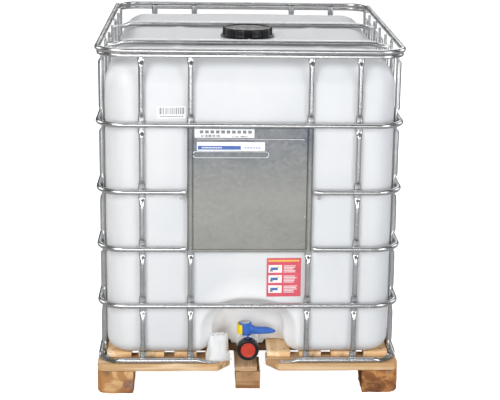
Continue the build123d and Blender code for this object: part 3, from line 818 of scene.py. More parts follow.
shell = bare_object("bottle_shell", bottle_body())
cutter = bare_object("recess_cutter", arch_cutter())
cut = shell.modifiers.new("cut", "BOOLEAN")
cut.operation = "DIFFERENCE"
cut.solver = "EXACT"
cut.object = cutter
apply_all(shell)
bpy.data.objects.remove(cutter)
sump = box_mesh(-0.055, 0.055, -0.4245, -0.262, 0.1075, 0.20)
neck = tube_solid((0.0, VALVE_Z), 0.031, -0.4525, -0.405)
extra = bare_object("bottle_extra", join_meshes([sump, neck]))
bm = bmesh.new()
bm.from_mesh(shell.data)
bm.from_mesh(extra.data)
bm.to_mesh(shell.data)
bm.free()
bpy.data.objects.remove(extra)
remeshed(shell, 0.0055, 10, 0.5)

TOP_RIDGES = ((-0.24, 0.018), (0.24, 0.018))
for v in shell.data.vertices:
    x, y, z = v.co
    weight_front = smoothstep((abs(y) - 0.520) / 0.045)
    weight_side = smoothstep((abs(x) - 0.420) / 0.045)
    inside = abs(x) < 0.165 and y < -0.40 and z < 0.34 and y > -0.556
    if y < 0 and not inside:
        v.co.y -= front_bulge(x, z) * weight_front
    elif y > 0:
        v.co.y += front_bulge(x, z) * weight_front
    v.co.x += math.copysign(side_bulge(y, z), x) * weight_side
    if z > 1.10:
        lift = smoothstep((z - 1.10) / 0.02)
        ridge = 0.0
        for centre, half in TOP_RIDGES:
            ridge += math.exp(-((x - centre) / half) ** 2) * smoothstep((0.42 - abs(y)) / 0.05)
        ridge += 0.7 * math.exp(-((abs(y + 0.09) - 0.30) / 0.02) ** 2) * smoothstep((0.36 - abs(x)) / 0.05)
        v.co.z += lift * (0.0028 * ridge - 0.0015 * math.cos(x * 9) * math.cos(y * 7))
    v.co.z = min(v.co.z, 1.1305)
finish_mesh(shell, MAT["bottle"])
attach(shell, "container")
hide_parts("bottle")


def surface_sheet(name, x0, x1, z0, z1, lift, material, thick=0.00025, body="container"):
    """A thin label lying on the bottle's front and following its bulge."""
    nx, nz = max(2, int((x1 - x0) / 0.004)), max(2, int((z1 - z0) / 0.004))
    verts = []
    for layer in (lift, lift + thick):
        for i in range(nz + 1):
            for j in range(nx + 1):
                x = x0 + (x1 - x0) * j / nx
                z = z0 + (z1 - z0) * i / nz
                verts.append((x, -BOTTLE_Y - front_bulge(x, z) - layer, z))
    columns = nx + 1
    size = (nz + 1) * columns
    faces = grid_faces(nz + 1, columns, close_columns=False)
    faces += [tuple(reversed(f)) for f in grid_faces(nz + 1, columns, close_columns=False, start=size)]
    edge = sheet_rim(nz + 1, columns)
    for a, b in zip(edge, edge[1:] + edge[:1]):
        faces.append((a, b, b + size, a + size))
    return make_object(name, verts, faces, material, body=body, smooth=False)


def flat_sheet(name, x0, x1, z0, z1, y, material, thick=0.00025):
    verts, faces = box_mesh(x0, x1, y - thick, y, z0, z1)
    return make_object(name, verts, faces, material, smooth=False)


# barcode label on the bottle
label = surface_sheet("barcode_label", -0.299, -0.207, 0.931, 0.970, 0.0006, MAT["paper"])
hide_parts("bottle_barcode_label")
surface_sheet("barcode_bars", -0.293, -0.213, 0.944, 0.966, 0.0009, MAT["bars"])
for k in range(9):
    left = -0.290 + k * 0.0085
    surface_sheet(f"barcode_mark_{k}", left, left + 0.0058, 0.9355, 0.9395, 0.0009, MAT["ink_grey"])

# instruction label: red film, pale panels with simple shapes, and plain rules for text
label = surface_sheet("instruction_label", 0.058, 0.171, 0.331, 0.464, 0.0006, MAT["ink_red"])
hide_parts("bottle_instruction_label")
random.seed(11)
for k in range(12):
    left = 0.064 + k * 0.0085
    surface_sheet(f"instruction_head_{k}", left, left + 0.0066, 0.4515, 0.4575, 0.0009, MAT["ink_yellow"])
for k in range(3):
    top = 0.440 - k * 0.035
    surface_sheet(f"instruction_panel_{k}", 0.064, 0.108, top - 0.026, top, 0.0009, MAT["paper"])
    surface_sheet(f"instruction_shape_{k}", 0.071, 0.095, top - 0.017, top - 0.008, 0.0012, MAT["ink_blue"])
    surface_sheet(f"instruction_dot_{k}", 0.069, 0.078, top - 0.022, top - 0.014, 0.0015, MAT["ink_grey"])
    surface_sheet(f"instruction_spot_{k}", 0.092, 0.100, top - 0.009, top - 0.004, 0.0015, MAT["ink_yellow"])
    for row in range(5):
        z = top - 0.002 - row * 0.0052
        end = 0.160 - 0.016 * random.random()
        surface_sheet(f"instruction_line_{k}_{row}", 0.114, end, z - 0.0022, z, 0.0009, MAT["paper"])


# ------------------------------------------------------------------ label plate details

PLATE_Y = -0.5848
serial = flat_sheet("serial_label", -0.179, 0.012, 0.8705, 0.8985, PLATE_Y - 0.0004, MAT["paper"])
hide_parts("plate_serial_label")
flat_sheet("serial_bars", -0.160, -0.098, 0.8725, 0.8805, PLATE_Y - 0.0007, MAT["bars"])
flat_sheet("serial_bars_right", -0.060, -0.008, 0.8725, 0.8765, PLATE_Y - 0.0007, MAT["bars"])
for k in range(10):
    left = -0.163 + k * 0.0172
    flat_sheet(f"serial_mark_{k}", left, left + 0.0118, 0.8845, 0.8945, PLATE_Y - 0.0007, MAT["ink_grey"])

pocket = flat_sheet("pocket_label", -0.172, 0.046, 0.8275, 0.8565, PLATE_Y - 0.0004, MAT["paper"])
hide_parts("plate_pocket_label")
flat_sheet("pocket_band", -0.169, -0.031, 0.8315, 0.8440, PLATE_Y - 0.0007, MAT["ink_blue"])
for k in range(9):
    left = -0.156 + k * 0.0073
    flat_sheet(f"pocket_mark_{k}", left, left + 0.0052, 0.8360, 0.8395, PLATE_Y - 0.0010, MAT["paper"])
for k in range(6):
    left = -0.020 + k * 0.0090
    flat_sheet(f"pocket_rule_{k}", left, left + 0.0068, 0.8360, 0.8390, PLATE_Y - 0.0007, MAT["ink_blue"])



def pressed_line(name, points, width, lift, closed=False):
    """Raised half-round line in the plate along points in its plane; each point is (x, z)."""
    rows = []
    count = len(points)
    for k, (x, z) in enumerate(points):
        before = points[(k - 1) % count] if closed or k > 0 else points[k]
        after = points[(k + 1) % count] if closed or k < count - 1 else points[k]
        run = Vector((after[0] - before[0], after[1] - before[1])).normalized()
        for step in range(9):
            a = math.pi * step / 8
            across = width * math.cos(a)
            rows.append((x - run.y * across, PLATE_Y + 0.0002 - lift * math.sin(a), z + run.x * across))
    faces = []
    spans = count if closed else count - 1
    for k in range(spans):
        n = (k + 1) % count
        for step in range(8):
            faces.append((k * 9 + step, k * 9 + step + 1, n * 9 + step + 1, n * 9 + step))
        faces.append((k * 9 + 8, k * 9, n * 9, n * 9 + 8))
    if not closed:
        faces.append(tuple(range(8, -1, -1)))
        faces.append(tuple((count - 1) * 9 + step for step in range(9)))
    # the raised line takes the brighter zinc, a painted highlight
    return make_object(name, rows, faces, MAT["pressed"])


def stadium(x0, x1, z0, z1, steps=10):
    """Outline of a slot with round ends."""
    r = (z1 - z0) / 2
    turns = [math.pi * k / steps for k in range(steps + 1)]
    right = [(x1 - r + r * math.sin(a), z0 + r - r * math.cos(a)) for a in turns]
    left = [(x0 + r - r * math.sin(a), z0 + r + r * math.cos(a)) for a in turns]
    return right + left


pressed_line("plate_bead", [(-0.182 + 0.026 * k, 0.8665) for k in range(15)], 0.0022, 0.0024)
pressed_line("plate_hem", [(-0.186 + 0.0266 * k, 0.4925) for k in range(15)], 0.0042, 0.0022)
pressed_line("plate_slot", stadium(-0.185, 0.059, 0.805, 0.8246), 0.0017, 0.0020, closed=True)
pressed_line("plate_upper_bead", [(-0.186 + 0.0266 * k, 0.9035) for k in range(15)], 0.0020, 0.0018)
# Painted shade: a flat dark grey strip above the pocket stands for the shade at its tab's fold.
flat_sheet("pocket_tab_painted_shade", -0.110, -0.015, 0.8580, 0.8612, PLATE_Y - 0.0006, MAT["ink_grey"])


# ------------------------------------------------------------------ fill cap

def turned_ring(profile, steps, frame_at, modulate):
    """A turned piece open at its axis: the last row joins the first instead of two end caps."""
    verts, faces = lathe(profile, steps, frame_at, modulate)
    last = (len(profile) - 1) * steps
    return verts, faces[:-2] + [(j, (j + 1) % steps, last + (j + 1) % steps, last + j) for j in range(steps)]


def lug(angle, count, width, soft=0.35):
    """Raised pulses round a rim: 1 on a lug, 0 between."""
    phase = (angle * count / (2 * math.pi)) % 1.0
    away = abs(phase - 0.5) / 0.5
    return 1.0 - smoothstep((away - width) / soft)


def cap_modulate(r, h, a):
    if r > 0.0775:
        raised = 0.0034 * (lug(a, 16, 0.30, 0.16) - 0.5) * smoothstep((r - 0.078) / 0.004)
        return r + (raised if r < 0.0905 else 0.0)
    return r


fill_profile = [
    (0.0771, 1.1278), (0.0925, 1.1278), (0.0938, 1.1288), (0.0938, 1.1305), (0.0925, 1.1315),
    (0.0872, 1.1320), (0.0866, 1.1345), (0.0862, 1.1400), (0.0860, 1.1470), (0.0857, 1.1530),
    (0.0846, 1.1560), (0.0820, 1.1577), (0.0786, 1.1580), (0.0768, 1.1574), (0.0758, 1.1558),
    (0.0752, 1.1546), (0.0560, 1.1543), (0.0545, 1.1549), (0.0530, 1.1553), (0.0515, 1.1549),
    (0.0500, 1.1543),
    (0.0220, 1.1541), (0.0205, 1.1552), (0.0185, 1.1555), (0.0020, 1.1555),
    (0.0020, 1.1530), (0.0768, 1.1530),
]
verts, faces = turned_ring(fill_profile, 320, lambda a, b, h: (a, CAP_Y + b, h), cap_modulate)
fill_cap = make_object("fill_cap_shell", verts, faces, MAT["black"], body="fill_cap",
                       auto=50)
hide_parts("fill_cap")
ribs = []
for k in range(6):
    z = 1.1335 + k * 0.0034
    ribs.append(box_mesh(-0.0085, 0.0085, CAP_Y - 0.0898, CAP_Y - 0.0868, z, z + 0.0018))
verts, faces = join_meshes(ribs)
make_object("fill_cap_ribs", verts, faces, MAT["black"], body="fill_cap", smooth=False)
paint("fill_cap_gasket", MAT["rubber"])
paint("fill_cap_seal_tab", MAT["paper"])


# ------------------------------------------------------------------ outlet valve

def about_outlet(a, b, h):
    """Valve frame: a right, b up, h towards the front from the valve's axis origin."""
    return (a, -h, VALVE_Z + b)


def outlet_modulate(r, h, a):
    if r > 0.0330:
        return r + 0.0011 * (lug(a, 24, 0.34, 0.22) - 0.5) * smoothstep((0.5588 - h) / 0.003)
    return r


outlet_profile = [
    (0.0316, 0.5266), (0.0352, 0.5264), (0.0360, 0.5272), (0.0361, 0.5300), (0.0361, 0.5480),
    (0.0360, 0.5560), (0.0352, 0.5585), (0.0335, 0.5598), (0.0310, 0.5600), (0.0280, 0.5598),
    (0.0264, 0.5590), (0.0257, 0.5575), (0.0256, 0.5531), (0.0316, 0.5529),
]
verts, faces = turned_ring(outlet_profile, 288, about_outlet, outlet_modulate)
outlet = make_object("outlet_cap_ring", verts, faces, MAT["black"], body="outlet_cap",
                     auto=50)
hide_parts("outlet_cap")

disc_profile = [
    (0.0300, 0.5515), (0.0303, 0.5526), (0.0252, 0.5528), (0.0251, 0.5572), (0.0246, 0.5583),
    (0.0236, 0.5588), (0.0222, 0.5587), (0.0212, 0.5580), (0.0190, 0.5578), (0.0120, 0.5581),
    (0.0060, 0.5583),
    (0.0015, 0.5584),
]
verts, faces = lathe(disc_profile, 96, about_outlet)
disc = make_object("outlet_disc", verts, faces, MAT["red"], body="outlet_cap", auto=50)
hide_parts("outlet_cap_disc")
for node, key in (("outlet_cap_gasket", "rubber"), ("valve_gasket", "rubber"), ("stem_seal", "rubber"),
                  ("valve_stem", "valve"), ("valve_disc", "valve"), ("handle_badge", "badge"),
                  ("handle_seal_strip", "blue")):
    paint(node, MAT[key])

for node, voxel, key, name, slot, body in (
    ("valve_body", 0.0009, "valve", "valve_housing", "valve_white", "container"),
    ("valve_union_nut", 0.0009, "valve", "union_nut", "valve_white", "container"),
    ("safety_clip", 0.0006, "yellow", "lock_clip", "clip_yellow", "safety_clip"),
):
    piece = copy_node(node, name)
    remeshed(piece, voxel, 3, 0.5)
    finish_mesh(piece, MAT[key])
    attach(piece, body)
    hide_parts(node)


def handle_solids():
    """Hub, web and tapering lever as overlapping closed solids."""
    hub_x, base, top = -0.009, 0.1757, 0.2178
    hub = []
    profile = ((0.0196, base), (0.0212, base + 0.0015), (0.0213, base + 0.010), (0.0208, base + 0.012),
               (0.0213, base + 0.014), (0.0213, top - 0.002), (0.0205, top - 0.0005), (0.0186, top - 0.0002))
    for r, z in profile:
        hub += [(hub_x + r * math.cos(2 * math.pi * j / 48), STEM_Y + r * math.sin(2 * math.pi * j / 48), z)
                for j in range(48)]
    hub_faces = capped(len(profile), 48, grid_faces(len(profile), 48))
    rows = (
        (-0.004, 0.0165, 0.1765, 0.2135),
        (0.010, 0.0150, 0.1762, 0.2085),
        (0.018, 0.0132, 0.1760, 0.2035),
        (0.028, 0.0122, 0.1760, 0.1995),
        (0.045, 0.0122, 0.1762, 0.1990),
        (0.062, 0.0120, 0.1768, 0.1985),
        (0.074, 0.0112, 0.1778, 0.1960),
        (0.085, 0.0092, 0.1795, 0.1915),
        (0.0915, 0.0065, 0.1815, 0.1878),
        (0.0938, 0.0030, 0.1832, 0.1862),
    )
    lever = []
    for x, half, z0, z1 in rows:
        mid, tall = (z0 + z1) / 2, (z1 - z0) / 2
        for j in range(24):
            a = 2 * math.pi * j / 24
            c, s = math.cos(a), math.sin(a)
            lever.append((x, STEM_Y + math.copysign(abs(c) ** 0.6, c) * half,
                          mid + math.copysign(abs(s) ** 0.6, s) * tall))
    lever_faces = capped(len(rows), 24, grid_faces(len(rows), 24))
    return join_meshes([(hub, hub_faces), (lever, lever_faces)])


handle = bare_object("lever_handle", handle_solids())
remeshed(handle, 0.0008, 4, 0.5)
for v in handle.data.vertices:
    away = math.hypot(v.co.x + 0.009, v.co.y - STEM_Y)
    if v.co.z > 0.2160 and away < 0.0184:
        v.co.z = min(v.co.z, 0.2170)
    groove = math.exp(-((v.co.z - 0.1877) / 0.0016) ** 2) * smoothstep((v.co.x - 0.024) / 0.01)
    groove *= smoothstep((0.088 - v.co.x) / 0.01)
    if abs(v.co.y - STEM_Y) > 0.008:
        v.co.y += -math.copysign(0.0009, v.co.y - STEM_Y) * groove
finish_mesh(handle, MAT["blue"])
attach(handle, "valve_handle")
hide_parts("valve_handle")


# ------------------------------------------------------------------ pallet

def plank(name, x0, x1, y0, y1, z0, z1, along, seed, material, body="container", slot="timber_board",
          rough=0.0006, cut=None, chips=0.0, node=None):
    """A sawn board or block: fine edges, slight unevenness inwards and worn corners."""
    lows, highs = [x0, y0, z0], [x1, y1, z1]
    obj = bare_object(name, box_mesh(x0, x1, y0, y1, z0, z1) if cut is None else cut)
    bev = obj.modifiers.new("bevel", "BEVEL")
    bev.width = 0.0016
    bev.segments = 2
    bev.limit_method = "ANGLE"
    apply_all(obj)
    bm = bmesh.new()
    bm.from_mesh(obj.data)
    for axis in range(3):
        length = highs[axis] - lows[axis]
        step = 0.028 if axis == along else 0.012
        count = int(length / step)
        for i in range(1, count):
            point = [0, 0, 0]
            point[axis] = lows[axis] + length * i / count
            normal = [0, 0, 0]
            normal[axis] = 1
            bmesh.ops.bisect_plane(bm, geom=bm.verts[:] + bm.edges[:] + bm.faces[:], dist=1e-6,
                                   plane_co=point, plane_no=normal)
    scale = [45.0, 45.0, 45.0]
    scale[along] = 9.0
    centre = [(a + b) / 2 for a, b in zip(lows, highs)]
    for v in bm.verts:
        p = Vector((v.co.x * scale[0] + seed * 7.3, v.co.y * scale[1] + seed, v.co.z * scale[2] - seed))
        amount = rough * (0.5 + 0.5 * noise.noise(p))
        if chips:
            edge = sum(1 for i in range(3) if min(v.co[i] - lows[i], highs[i] - v.co[i]) < 0.004)
            if edge >= 2:
                rag = noise.noise(Vector((v.co.x * 38 + seed, v.co.y * 38, v.co.z * 38)))
                amount += chips * max(0.0, rag)
        for i in range(3):
            if min(v.co[i] - lows[i], highs[i] - v.co[i]) < 0.0045:
                v.co[i] += math.copysign(amount, centre[i] - v.co[i])
    bm.to_mesh(obj.data)
    bm.free()
    finish_mesh(obj, material, smooth=True, auto=28)
    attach(obj, body)
    if node:
        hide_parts(node)
    return obj


def node_box(name):
    low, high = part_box(name)
    return low.x, high.x, low.y, high.y, low.z, high.z


tones = [
    ((0.95, 0.75, 0.50), (0.80, 0.54, 0.29)),
    ((0.92, 0.68, 0.42), (0.74, 0.47, 0.23)),
    ((0.95, 0.77, 0.54), (0.82, 0.58, 0.34)),
    ((0.90, 0.65, 0.39), (0.70, 0.42, 0.20)),
]
count = 0
for side in ("left", "right"):
    for number in range(1, 5):
        node = f"deck_board_{side}_{number}"
        count += 1
        light, dark = tones[(count * 3 + number) % 4]
        material = wood(f"pine_deck_{side}_{number}", 1, light, dark, 0.5, count * 1.37)
        plank(f"deck_plank_{side}_{number}", *node_box(node), 1, count, material, node=node, chips=0.002)

for index, node in enumerate(("valve_cross_board", "middle_cross_board", "rear_cross_board")):
    # Painted shade: the valve cross board lies in the bottle's shadow, so it gets a dark brown tone instead
    # of pine.
    painted_shade_board = node == "valve_cross_board"
    light = (0.36, 0.21, 0.11) if painted_shade_board else PINE
    dark = (0.22, 0.115, 0.055) if painted_shade_board else PINE_DARK
    material = wood(f"pine_{node}", 0, light, dark, 0.5, 11.0 + index)
    plank(f"{node}_plank", *node_box(node), 0, 20 + index, material, node=node, chips=0.002)


def front_board(sign):
    x_out, x_gap, x_in = 0.500, 0.101, 0.060
    points = [
        (x_out - 0.014, -0.600), (x_gap, -0.600), (x_in, -0.545),
        (x_in, -0.490), (x_out, -0.490), (x_out, -0.586),
    ]
    points = [(sign * x, y) for x, y in points]
    verts = [(x, y, z) for z in (0.079, 0.105) for x, y in points]
    faces = [tuple(range(6)), tuple(range(11, 5, -1))]
    faces += [(i, (i + 1) % 6, 6 + (i + 1) % 6, 6 + i) for i in range(6)]
    return verts, faces


for side, sign in (("left", -1), ("right", 1)):
    node = f"front_cross_board_{side}"
    material = wood(f"pine_front_{side}", 0, (0.76, 0.56, 0.35), (0.54, 0.345, 0.175), 0.5, 31.0 + sign)
    plank(f"front_board_{side}", *node_box(node), 0, 30 + sign, material, cut=front_board(sign), node=node,
          chips=0.0015)

stringer_material = wood("pine_stringer", 1, (0.74, 0.55, 0.37), (0.52, 0.33, 0.18), 0.3, 41.0)
plank("stringer_plank", *node_box("centre_stringer"), 1, 41, stringer_material, node="centre_stringer",
      chips=0.004)


def corner_block(sign):
    x_out, x_in = 0.500, 0.380
    cut_xy, cut_z = 0.014, 0.009
    top = [(x_out - cut_xy, -0.600), (x_in, -0.600), (x_in, -0.460), (x_out, -0.460), (x_out, -0.586)]
    low = [(x_out - cut_xy - cut_z * 0.6, -0.600), (x_in, -0.600), (x_in, -0.460), (x_out - cut_z, -0.460),
           (x_out - cut_z, -0.586)]
    verts = [(sign * x, y, 0.0) for x, y in low]
    verts += [(sign * x, y, cut_z) for x, y in top]
    verts += [(sign * x, y, 0.079) for x, y in top]
    faces = [tuple(range(5)), tuple(range(14, 9, -1))]
    for level in (0, 5):
        faces += [(level + i, level + (i + 1) % 5, level + 5 + (i + 1) % 5, level + 5 + i) for i in range(5)]
    return verts, faces


left_stains = (
    ((-0.386, -0.600, 0.012), 0.052, (0.20, 0.060, 0.022), 0.95),
    ((-0.392, -0.600, 0.030), 0.030, (0.12, 0.10, 0.13), 0.6),
    ((-0.470, -0.600, 0.076), 0.020, (0.10, 0.07, 0.05), 0.7),
)
right_stains = (
    ((0.430, -0.600, 0.018), 0.045, (0.13, 0.050, 0.020), 0.95),
    ((0.478, -0.600, 0.030), 0.032, (0.16, 0.055, 0.022), 0.8),
    ((0.386, -0.560, 0.040), 0.060, (0.05, 0.028, 0.015), 0.9),
    ((0.470, -0.600, 0.078), 0.016, (0.15, 0.14, 0.13), 0.8),
)
material = wood("block_left", 1, (0.66, 0.42, 0.21), (0.42, 0.215, 0.085), 0.4, 51.0, left_stains)
plank("block_front_left", *node_box("front_block_left"), 1, 51, material, slot="timber_block",
      cut=corner_block(-1), node="front_block_left", rough=0.0012, chips=0.004)
material = wood("block_right", 1, (0.50, 0.235, 0.080), (0.27, 0.10, 0.032), 0.4, 57.0, right_stains)
plank("block_front_right", *node_box("front_block_right"), 1, 57, material, slot="timber_block",
      cut=corner_block(1), node="front_block_right", rough=0.0012, chips=0.004)
centre_stains = (
    ((0.035, -0.563, 0.010), 0.030, (0.30, 0.10, 0.04), 0.7),
    ((0.000, -0.563, 0.060), 0.040, (0.20, 0.10, 0.05), 0.6),
)
material = wood("block_centre", 0, (0.46, 0.275, 0.135), (0.26, 0.135, 0.055), 0.4, 63.0, centre_stains)
plank("block_front_centre", *node_box("front_block_centre"), 0, 63, material, slot="timber_block",
      node="front_block_centre", rough=0.0012, chips=0.003)

block_sizes = ((-0.44, 0.06, 0.079), (0.0, 0.042, 0.0615), (0.44, 0.06, 0.079))
for row, y_mid in (("middle", 0.0), ("rear", 0.530)):
    for index, (x_mid, half, high) in enumerate(block_sizes):
        seed = 70 + index + (5 if row == "rear" else 0)
        material = wood(f"block_{row}_{index}", 1, CHIP, CHIP_DARK, 0.3, seed * 1.1)
        block = plank(f"block_{row}_{index}_solid", x_mid - half, x_mid + half, y_mid - 0.07, y_mid + 0.07,
                      0.0, high, 1, seed, material, slot="timber_block", rough=0.0012, chips=0.003)
        if index == 0:
            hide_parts(f"{row}_blocks")
paint("deck_nails", MAT["nail"])


# ------------------------------------------------------------------ accessory bag

def bag_shell():
    """White film bag, upright, narrow at its top and creased."""
    rows = 46
    columns = 72
    verts = []
    for i in range(rows):
        t = i / (rows - 1)
        z = 0.1055 + (0.1815 - 0.1055) * t
        cx = -0.108 + 0.010 * t
        cy = -0.558 + 0.030 * smoothstep(t * 1.2)
        half_x = 0.0275 * (0.92 + 0.08 * math.sin(math.pi * t) - 0.34 * smoothstep((t - 0.86) / 0.14))
        half_y = 0.0170 * (0.90 + 0.30 * math.sin(math.pi * t) - 0.62 * smoothstep((t - 0.80) / 0.20))
        for j in range(columns):
            a = 2 * math.pi * j / columns
            fold = noise.noise(Vector((math.cos(a) * 2.2, math.sin(a) * 2.2, t * 1.6 + 3.0)))
            crease = abs(noise.noise(Vector((math.cos(a) * 3.4, math.sin(a) * 3.4, t * 3.0))))
            k = 1.0 + 0.22 * fold - 0.20 * crease
            verts.append((cx + half_x * k * math.cos(a), cy + half_y * k * math.sin(a), z))
    return verts, capped(rows, columns, grid_faces(rows, columns))


bag = bare_object("film_bag", bag_shell())
remeshed(bag, 0.0016, 2, 0.5)
for v in bag.data.vertices:
    p = v.co
    n = 0.0012 * noise.noise(Vector((p.x * 90, p.y * 90, p.z * 45)))
    n += 0.0007 * noise.noise(Vector((p.x * 210, p.y * 210, p.z * 120 + 5)))
    v.co.x += n
    v.co.y += n
finish_mesh(bag, MAT["film"])
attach(bag, "container")
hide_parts("accessory_bag")


def crumpled_film():
    """Loose clear tail of the bag, creased, beside its lower right edge."""
    across, up = 22, 18
    front, back = [], []
    for i in range(up):
        v = i / (up - 1)
        for j in range(across):
            u = j / (across - 1)
            crease = noise.noise(Vector((u * 5.0, v * 5.0, 2.0)))
            crease += 0.5 * noise.noise(Vector((u * 13.0, v * 11.0, 7.0)))
            reach = 0.021 + 0.010 * (1.0 - v) + 0.004 * noise.noise(Vector((v * 6.0, 1.0, 4.0)))
            x = -0.0815 + reach * u
            y = -0.568 + 0.007 * crease - 0.004 * u
            z = 0.1062 + 0.036 * v - 0.006 * u * v + 0.002 * noise.noise(Vector((u * 7.0, 3.0, 5.0)))
            front.append((x, y, max(z, 0.1056)))
            back.append((x, y + 0.0004, max(z, 0.1056)))
    count = across * up
    faces = []
    for i in range(up - 1):
        for j in range(across - 1):
            a = i * across + j
            faces.append((a, a + 1, a + across + 1, a + across))
            faces.append((count + a, count + a + across, count + a + across + 1, count + a + 1))
    rim = sheet_rim(up, across)
    for a, b in zip(rim, rim[1:] + rim[:1]):
        faces.append((a, count + a, count + b, b))
    return front + back, faces


def film_sleeve():
    """Thin clear sleeve hanging round the bag, open at the top."""
    rows, columns = 26, 56
    outer, inner = [], []
    for i in range(rows):
        t = i / (rows - 1)
        z = 0.1060 + 0.083 * t
        for j in range(columns):
            a = 2 * math.pi * j / columns
            fold = noise.noise(Vector((math.cos(a) * 2.6, math.sin(a) * 2.6, t * 2.0 + 9.0)))
            k = 1.0 + 0.16 * fold
            half_x = (0.0385 - 0.009 * t) * k
            half_y = (0.0200 - 0.003 * t) * k
            cx, cy = -0.104 + 0.004 * t, -0.562 + 0.018 * t
            outer.append((cx + half_x * math.cos(a), cy + half_y * math.sin(a), z + 0.003 * fold * t))
            inner.append((cx + (half_x - 0.0004) * math.cos(a), cy + (half_y - 0.0004) * math.sin(a),
                          z + 0.003 * fold * t))
    total = rows * columns
    faces = grid_faces(rows, columns)
    faces += [tuple(reversed(f)) for f in grid_faces(rows, columns, start=total)]
    for j in range(columns):
        n = (j + 1) % columns
        faces.append((n, j, total + j, total + n))
        top = (rows - 1) * columns
        faces.append((top + j, top + n, total + top + n, total + top + j))
    return outer + inner, faces


verts, faces = film_sleeve()
make_object("film_sleeve", verts, faces, MAT["clear"])
verts, faces = crumpled_film()
tail = make_object("film_tail", verts, faces, MAT["clear"])


# ------------------------------------------------------------------ stage, light and camera

def seen_only(tree, seen, lit):
    """One shader for what the camera sees directly and another for light and reflections."""
    path = tree.nodes.new("ShaderNodeLightPath")
    mix = tree.nodes.new("ShaderNodeMixShader")
    tree.links.new(path.outputs["Is Camera Ray"], mix.inputs[0])
    tree.links.new(lit, mix.inputs[1])
    tree.links.new(seen, mix.inputs[2])
    return mix.outputs[0]


def stage_material():
    mat = bpy.data.materials.new("stage_pale")
    mat.use_nodes = True
    tree = mat.node_tree
    tree.nodes.clear()
    out = tree.nodes.new("ShaderNodeOutputMaterial")
    add = tree.nodes.new("ShaderNodeAddShader")
    pale = tree.nodes.new("ShaderNodeBsdfDiffuse")
    plain = tree.nodes.new("ShaderNodeBsdfDiffuse")
    glow = tree.nodes.new("ShaderNodeEmission")
    pale.inputs["Color"].default_value = (0.86, 0.86, 0.86, 1)
    plain.inputs["Color"].default_value = (0.50, 0.50, 0.50, 1)
    glow.inputs["Color"].default_value = (1, 1, 1, 1)
    glow.inputs["Strength"].default_value = FLOOR_GLOW
    tree.links.new(pale.outputs[0], add.inputs[0])
    tree.links.new(glow.outputs[0], add.inputs[1])
    tree.links.new(seen_only(tree, add.outputs[0], plain.outputs[0]), out.inputs[0])
    return mat


FLOOR_GLOW = 0.93
BACKDROP = 1.05
LIGHT_LEVEL = 0.27
size = 60.0
floor_mesh = bpy.data.meshes.new("floor")
corners = [(-size, -size, 0), (size, -size, 0), (size, size, 0), (-size, size, 0)]
floor_mesh.from_pydata(corners, [], [(0, 1, 2, 3)])
floor = bpy.data.objects.new("floor", floor_mesh)
scene.collection.objects.link(floor)
floor_mesh.materials.append(stage_material())
floor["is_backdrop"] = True

world = bpy.data.worlds.new("studio")
scene.world = world
world.use_nodes = True
tree = world.node_tree
tree.nodes.clear()
out = tree.nodes.new("ShaderNodeOutputWorld")
coord = tree.nodes.new("ShaderNodeTexCoord").outputs["Generated"]
split = tree.nodes.new("ShaderNodeSeparateXYZ")
tree.links.new(coord, split.inputs[0])
band = tree.nodes.new("ShaderNodeValToRGB")
stops = ((0.0, 0.06), (0.46, 0.10), (0.54, 0.42), (0.75, 0.55), (1.0, 0.70))
while len(band.color_ramp.elements) < len(stops):
    band.color_ramp.elements.new(0.5)
for element, (place, value) in zip(band.color_ramp.elements, stops):
    element.position = place
    element.color = (value, value * 1.005, value * 1.02, 1)
half = tree.nodes.new("ShaderNodeMath")
half.operation = "MULTIPLY_ADD"
half.inputs[1].default_value = 0.5
half.inputs[2].default_value = 0.5
tree.links.new(split.outputs[2], half.inputs[0])
tree.links.new(half.outputs[0], band.inputs[0])
lit = tree.nodes.new("ShaderNodeBackground")
lit.inputs["Strength"].default_value = LIGHT_LEVEL
tree.links.new(band.outputs[0], lit.inputs["Color"])
seen = tree.nodes.new("ShaderNodeBackground")
seen.inputs["Color"].default_value = (1, 1, 1, 1)
seen.inputs["Strength"].default_value = BACKDROP
tree.links.new(seen_only(tree, seen.outputs[0], lit.outputs[0]), out.inputs["Surface"])


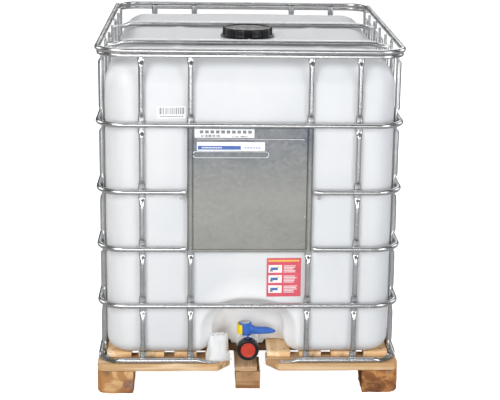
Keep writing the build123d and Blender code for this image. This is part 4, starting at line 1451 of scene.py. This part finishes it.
def area_light(name, place, target, size_x, size_y, power, colour=(1, 1, 1)):
    data = bpy.data.lights.new(name, "AREA")
    data.shape = "RECTANGLE"
    data.size, data.size_y = size_x, size_y
    data.energy = power * LIGHT_LEVEL
    data.color = colour
    obj = bpy.data.objects.new(name, data)
    scene.collection.objects.link(obj)
    obj.location = place
    obj.rotation_mode = "QUATERNION"
    obj.rotation_quaternion = (Vector(target) - Vector(place)).to_track_quat("-Z", "Y")
    return obj


area_light("key", (-2.8, -4.8, 3.2), (0, 0, 0.55), 2.4, 2.8, 640, (1.0, 0.99, 0.97))
area_light("fill", (3.4, -4.2, 1.6), (0, 0, 0.4), 2.2, 2.6, 370, (0.95, 0.975, 1.0))
area_light("low", (-0.6, -5.2, 0.95), (0, 0, 0.2), 3.0, 0.9, 260, (1, 1, 1))
area_light("top", (0.0, -0.2, 4.2), (0, -0.2, 0.5), 3.6, 3.0, 140, (1, 1, 1))
area_light("left", (-4.4, 1.4, 2.2), (0, 0.3, 0.6), 2.4, 2.6, 200, (1, 1, 1))
area_light("right", (4.4, 1.6, 2.2), (0, 0.3, 0.6), 2.4, 2.6, 180, (1, 1, 1))
area_light("back", (0.6, 5.2, 4.2), (0, 0.2, 0.5), 4.6, 2.8, 520, (1, 1, 1))

FOCAL = 1385.858
CENTRE_X, CENTRE_Y = 280.0, 155.0
camera_data = bpy.data.cameras.new("camera")
camera = bpy.data.objects.new("camera", camera_data)
scene.collection.objects.link(camera)
right = Vector((0.99865259, -0.04946225, 0.01570023))
up = Vector((-0.00377845, 0.23243509, 0.97260457))
ahead = Vector((0.05175649, 0.97135339, -0.23193502))
turn = Matrix((right, up, -ahead)).transposed()
camera.matrix_world = Matrix.Translation((-0.13567, -4.91304, 1.8479)) @ turn.to_4x4()
camera_data.sensor_width = 36.0
camera_data.lens = FOCAL * 36.0 / 500.0
camera_data.shift_x = (250.0 - CENTRE_X) / 500.0
camera_data.shift_y = (CENTRE_Y - 200.0) / 500.0
camera_data.clip_start = 0.05
camera_data.clip_end = 200.0
scene.camera = camera
scene.view_settings.view_transform = "Standard"

bpy.context.view_layer.update()
low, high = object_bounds()
